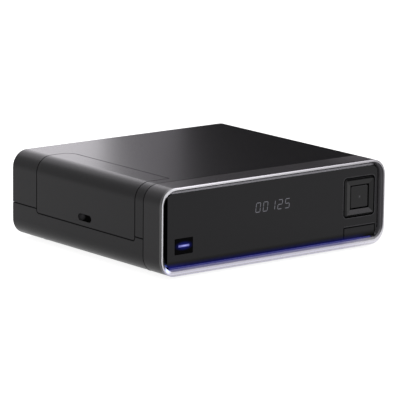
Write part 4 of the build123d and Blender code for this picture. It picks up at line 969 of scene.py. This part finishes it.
def hatch_mark(made):
    """Small dark plug in the hatch's top corner."""
    profile = ((1.1, -0.2), (1.1, 0.02), (0.9, 0.05), (0, 0.05))
    place = (-83.8 * MM, -64.1 * MM, casing_top - 0.05 * MM)
    turned(made, place, Z_AXIS, profile, 24)


gold = plain("contact_gold", (0.85, 0.60, 0.22), 0.25, 1.0)
# Black of the sheet that stands in for the dark reflection on the window's rolled left edge
matte_black = plain("matte_black", (0.0006, 0.0006, 0.0007), 0.6, Specular_IOR_Level=0.0)
# Near black for painted shade in the screws' drive recesses and the capacitors' scores, and the colour
# of the hatch's plug
recess_black = plain("recess_black", (0.004, 0.004, 0.004), 0.6)
tin = plain("tin", (0.62, 0.62, 0.60), 0.3, 1.0)
paper = plain("paper", (0.72, 0.72, 0.70), 0.6, bump=0.1)
print_grey = plain("print_grey", (0.16, 0.16, 0.17), 0.6)
digit_light = lit("digit_light", (0.085, 0.083, 0.10), 1.0)
phono_colours = ((-1, (0.55, 0.03, 0.02)), (0, (0.75, 0.75, 0.72)), (1, (0.70, 0.50, 0.03)))

piece("display_digits", "case", digit_light, display_digits)
# painted dark reflection: a black sheet on the window's rolled left edge
piece("window_edge_dark_reflection", "case", matte_black, window_edge_dark_reflection)
for side, colour in phono_colours:
    finish = plain(f"phono_plastic_{side + 2}", colour, 0.35)
    fill = phono_collar(middle("rca_jacks").x + side * PHONO_PITCH * MM)
    piece(f"phono_collar_{side + 2}", "case", finish, fill)
piece("rear_screw_recesses", "case", recess_black, rear_crosses)
lamp_green = plain("lamp_green", (0.05, 0.30, 0.06), 0.25)
lamp_amber = plain("lamp_amber", (0.50, 0.22, 0.02), 0.25)
piece("network_lamp_green", "case", lamp_green, jack_lamp(-1))
piece("network_lamp_amber", "case", lamp_amber, jack_lamp(1))
piece("socket_contacts", "case", gold, contacts)
piece("port_tongues", "case", finishes["component_black"], port_tongues)
piece("optical_shutter", "case", finishes["black_plastic"], optical_shutter)
piece("inlet_pin", "case", finishes["socket_steel"], inlet_pin)
piece("drive_lid_screws", "drawer", finishes["steel_bright"], star_screws)
piece("drive_label", "drawer", paper, drive_label)
piece("drive_label_bars", "drawer", print_grey, label_bars)
piece("chip_legs", "case", tin, chip_legs)
piece("capacitor_tops", "case", tin, capacitor_tops)
piece("capacitor_scores", "case", recess_black, capacitor_scores)
piece("foot_rims", "case", finishes["foot_rubber"], foot_rims)
piece("hatch_mark", "hatch", recess_black, hatch_mark)


# ------------------------------------------------------------------ studio
LAMP_TINT = (1.0, 0.955, 1.03)
PLAIN_LIGHT = 0.5
FLOOR_REACH = 6.0
FLOOR_GLOW = 0.9
CARD_CORNERS = ((0.40, 0.66, 0.0), (1.25, 0.06, 0.0), (1.25, 0.06, 0.75), (0.40, 0.66, 0.75))


def seen_directly(tree):
    """1 for camera, glossy and transmission rays, which all see the white background."""
    path = tree.nodes.new("ShaderNodeLightPath")
    seen = path.outputs["Is Camera Ray"]
    for name in ("Is Glossy Ray", "Is Transmission Ray"):
        either = tree.nodes.new("ShaderNodeMath")
        either.operation = "MAXIMUM"
        tree.links.new(seen, either.inputs[0])
        tree.links.new(path.outputs[name], either.inputs[1])
        seen = either.outputs["Value"]
    return seen


def world_light():
    """White room for what is seen and mirrored, and a plain level of light for the rest."""
    world = bpy.data.worlds.new("studio")
    bpy.context.scene.world = world
    world.use_nodes = True
    world.cycles.sampling_method = "NONE"
    tree = world.node_tree
    background = tree.nodes["Background"]
    background.inputs["Color"].default_value = (1, 1, 1, 1)
    level = tree.nodes.new("ShaderNodeMix")
    tree.links.new(seen_directly(tree), level.inputs["Factor"])
    level.inputs["A"].default_value = PLAIN_LIGHT
    level.inputs["B"].default_value = 1.0
    tree.links.new(level.outputs["Result"], background.inputs["Strength"])


def stage_plane(name, corners, material):
    """Flat piece of the studio, which is no part of the object."""
    made = bmesh.new()
    made.faces.new([made.verts.new(corner) for corner in corners])
    mesh = bpy.data.meshes.new(name)
    made.to_mesh(mesh)
    made.free()
    mesh.materials.append(material)
    obj = bpy.data.objects.new(name, mesh)
    bpy.context.collection.objects.link(obj)
    return obj


def floor():
    """White floor that keeps the object's shadow."""
    s = Shader("floor_white")
    s.material.cycles.emission_sampling = "NONE"
    s.set(Roughness=0.9, Specular_IOR_Level=0.0, Emission_Color=(1, 1, 1, 1))
    s.feed("Base Color", s.blend(s.noise(3.0), (0.58, 0.58, 0.58), (0.60, 0.60, 0.60)))
    s.feed("Emission Strength", s.between(seen_directly(s.tree), 0.0, FLOOR_GLOW, 0.0, 1.0))
    sides = ((-1, -1), (1, -1), (1, 1), (-1, 1))
    stage_plane("floor", [(x * FLOOR_REACH, y * FLOOR_REACH, 0) for x, y in sides], s.material)


def dark_card(name, corners):
    """Black card of the studio, which only shows in reflections."""
    obj = stage_plane(name, corners, finishes["foot_rubber"])
    obj.visible_camera = False
    obj.visible_diffuse = False
    obj.visible_shadow = False


def softbox(name, place, aim, size, glow, reflection_only=False):
    """Soft lamp of the given size whose face is as bright as glow, where 1 is white."""
    data = bpy.data.lights.new(name, "AREA")
    data.shape = "RECTANGLE"
    data.size, data.size_y = size
    data.energy = glow * pi * size[0] * size[1]
    data.color = LAMP_TINT
    obj = bpy.data.objects.new(name, data)
    bpy.context.collection.objects.link(obj)
    obj.location = place
    obj.rotation_euler = (Vector(aim) - Vector(place)).to_track_quat("-Z", "Y").to_euler()
    obj.visible_camera = False
    obj.visible_diffuse = not reflection_only


def camera():
    """The photo's view, as fitted to the casing's edges."""
    azimuth, elevation, roll = radians(-38.142), radians(11.583), radians(0.534)
    distance = 2.6878
    focal_px, frame_px = 3299.18, 400
    centre_px = (198.449, 196.423)
    centre = Vector((0.0, back(100.0), high(35.0)))
    away = Vector((sin(azimuth) * cos(elevation), -cos(azimuth) * cos(elevation), sin(elevation)))
    right = Vector((0, 0, 1)).cross(away).normalized()
    up = away.cross(right)
    right, up = right * cos(roll) + up * sin(roll), up * cos(roll) - right * sin(roll)
    data = bpy.data.cameras.new("camera")
    data.sensor_width = 36.0
    data.lens = focal_px / frame_px * data.sensor_width
    data.shift_x = (frame_px / 2 - centre_px[0]) / frame_px
    data.shift_y = (centre_px[1] - frame_px / 2) / frame_px
    data.clip_end = 100.0
    obj = bpy.data.objects.new("camera", data)
    bpy.context.collection.objects.link(obj)
    turn = Matrix((right, up, away)).transposed().to_4x4()
    obj.matrix_world = Matrix.Translation(centre + away * distance) @ turn
    bpy.context.scene.camera = obj


world_light()
floor()
dark_card("card_rear_right", CARD_CORNERS)
softbox("rear_left", (0.01, 0.69, 0.42), (-0.33, 0.26, 0.42), (0.65, 0.75), 1.2)
softbox("rear_middle", (0.282, 0.627, 0.36), (-0.018, 0.207, 0.30), (0.3, 0.6), 0.5, True)
softbox("overhead_right", (0.8, -0.27, 1.0), (0, 0, 0.05), (0.8, 0.8), 1.5)
softbox("front_strip", (0.63, -0.81, 0.17), (0.089, -0.1, 0.045), (0.35, 0.12), 3.0, True)
camera()
bpy.context.scene.view_settings.view_transform = "Standard"
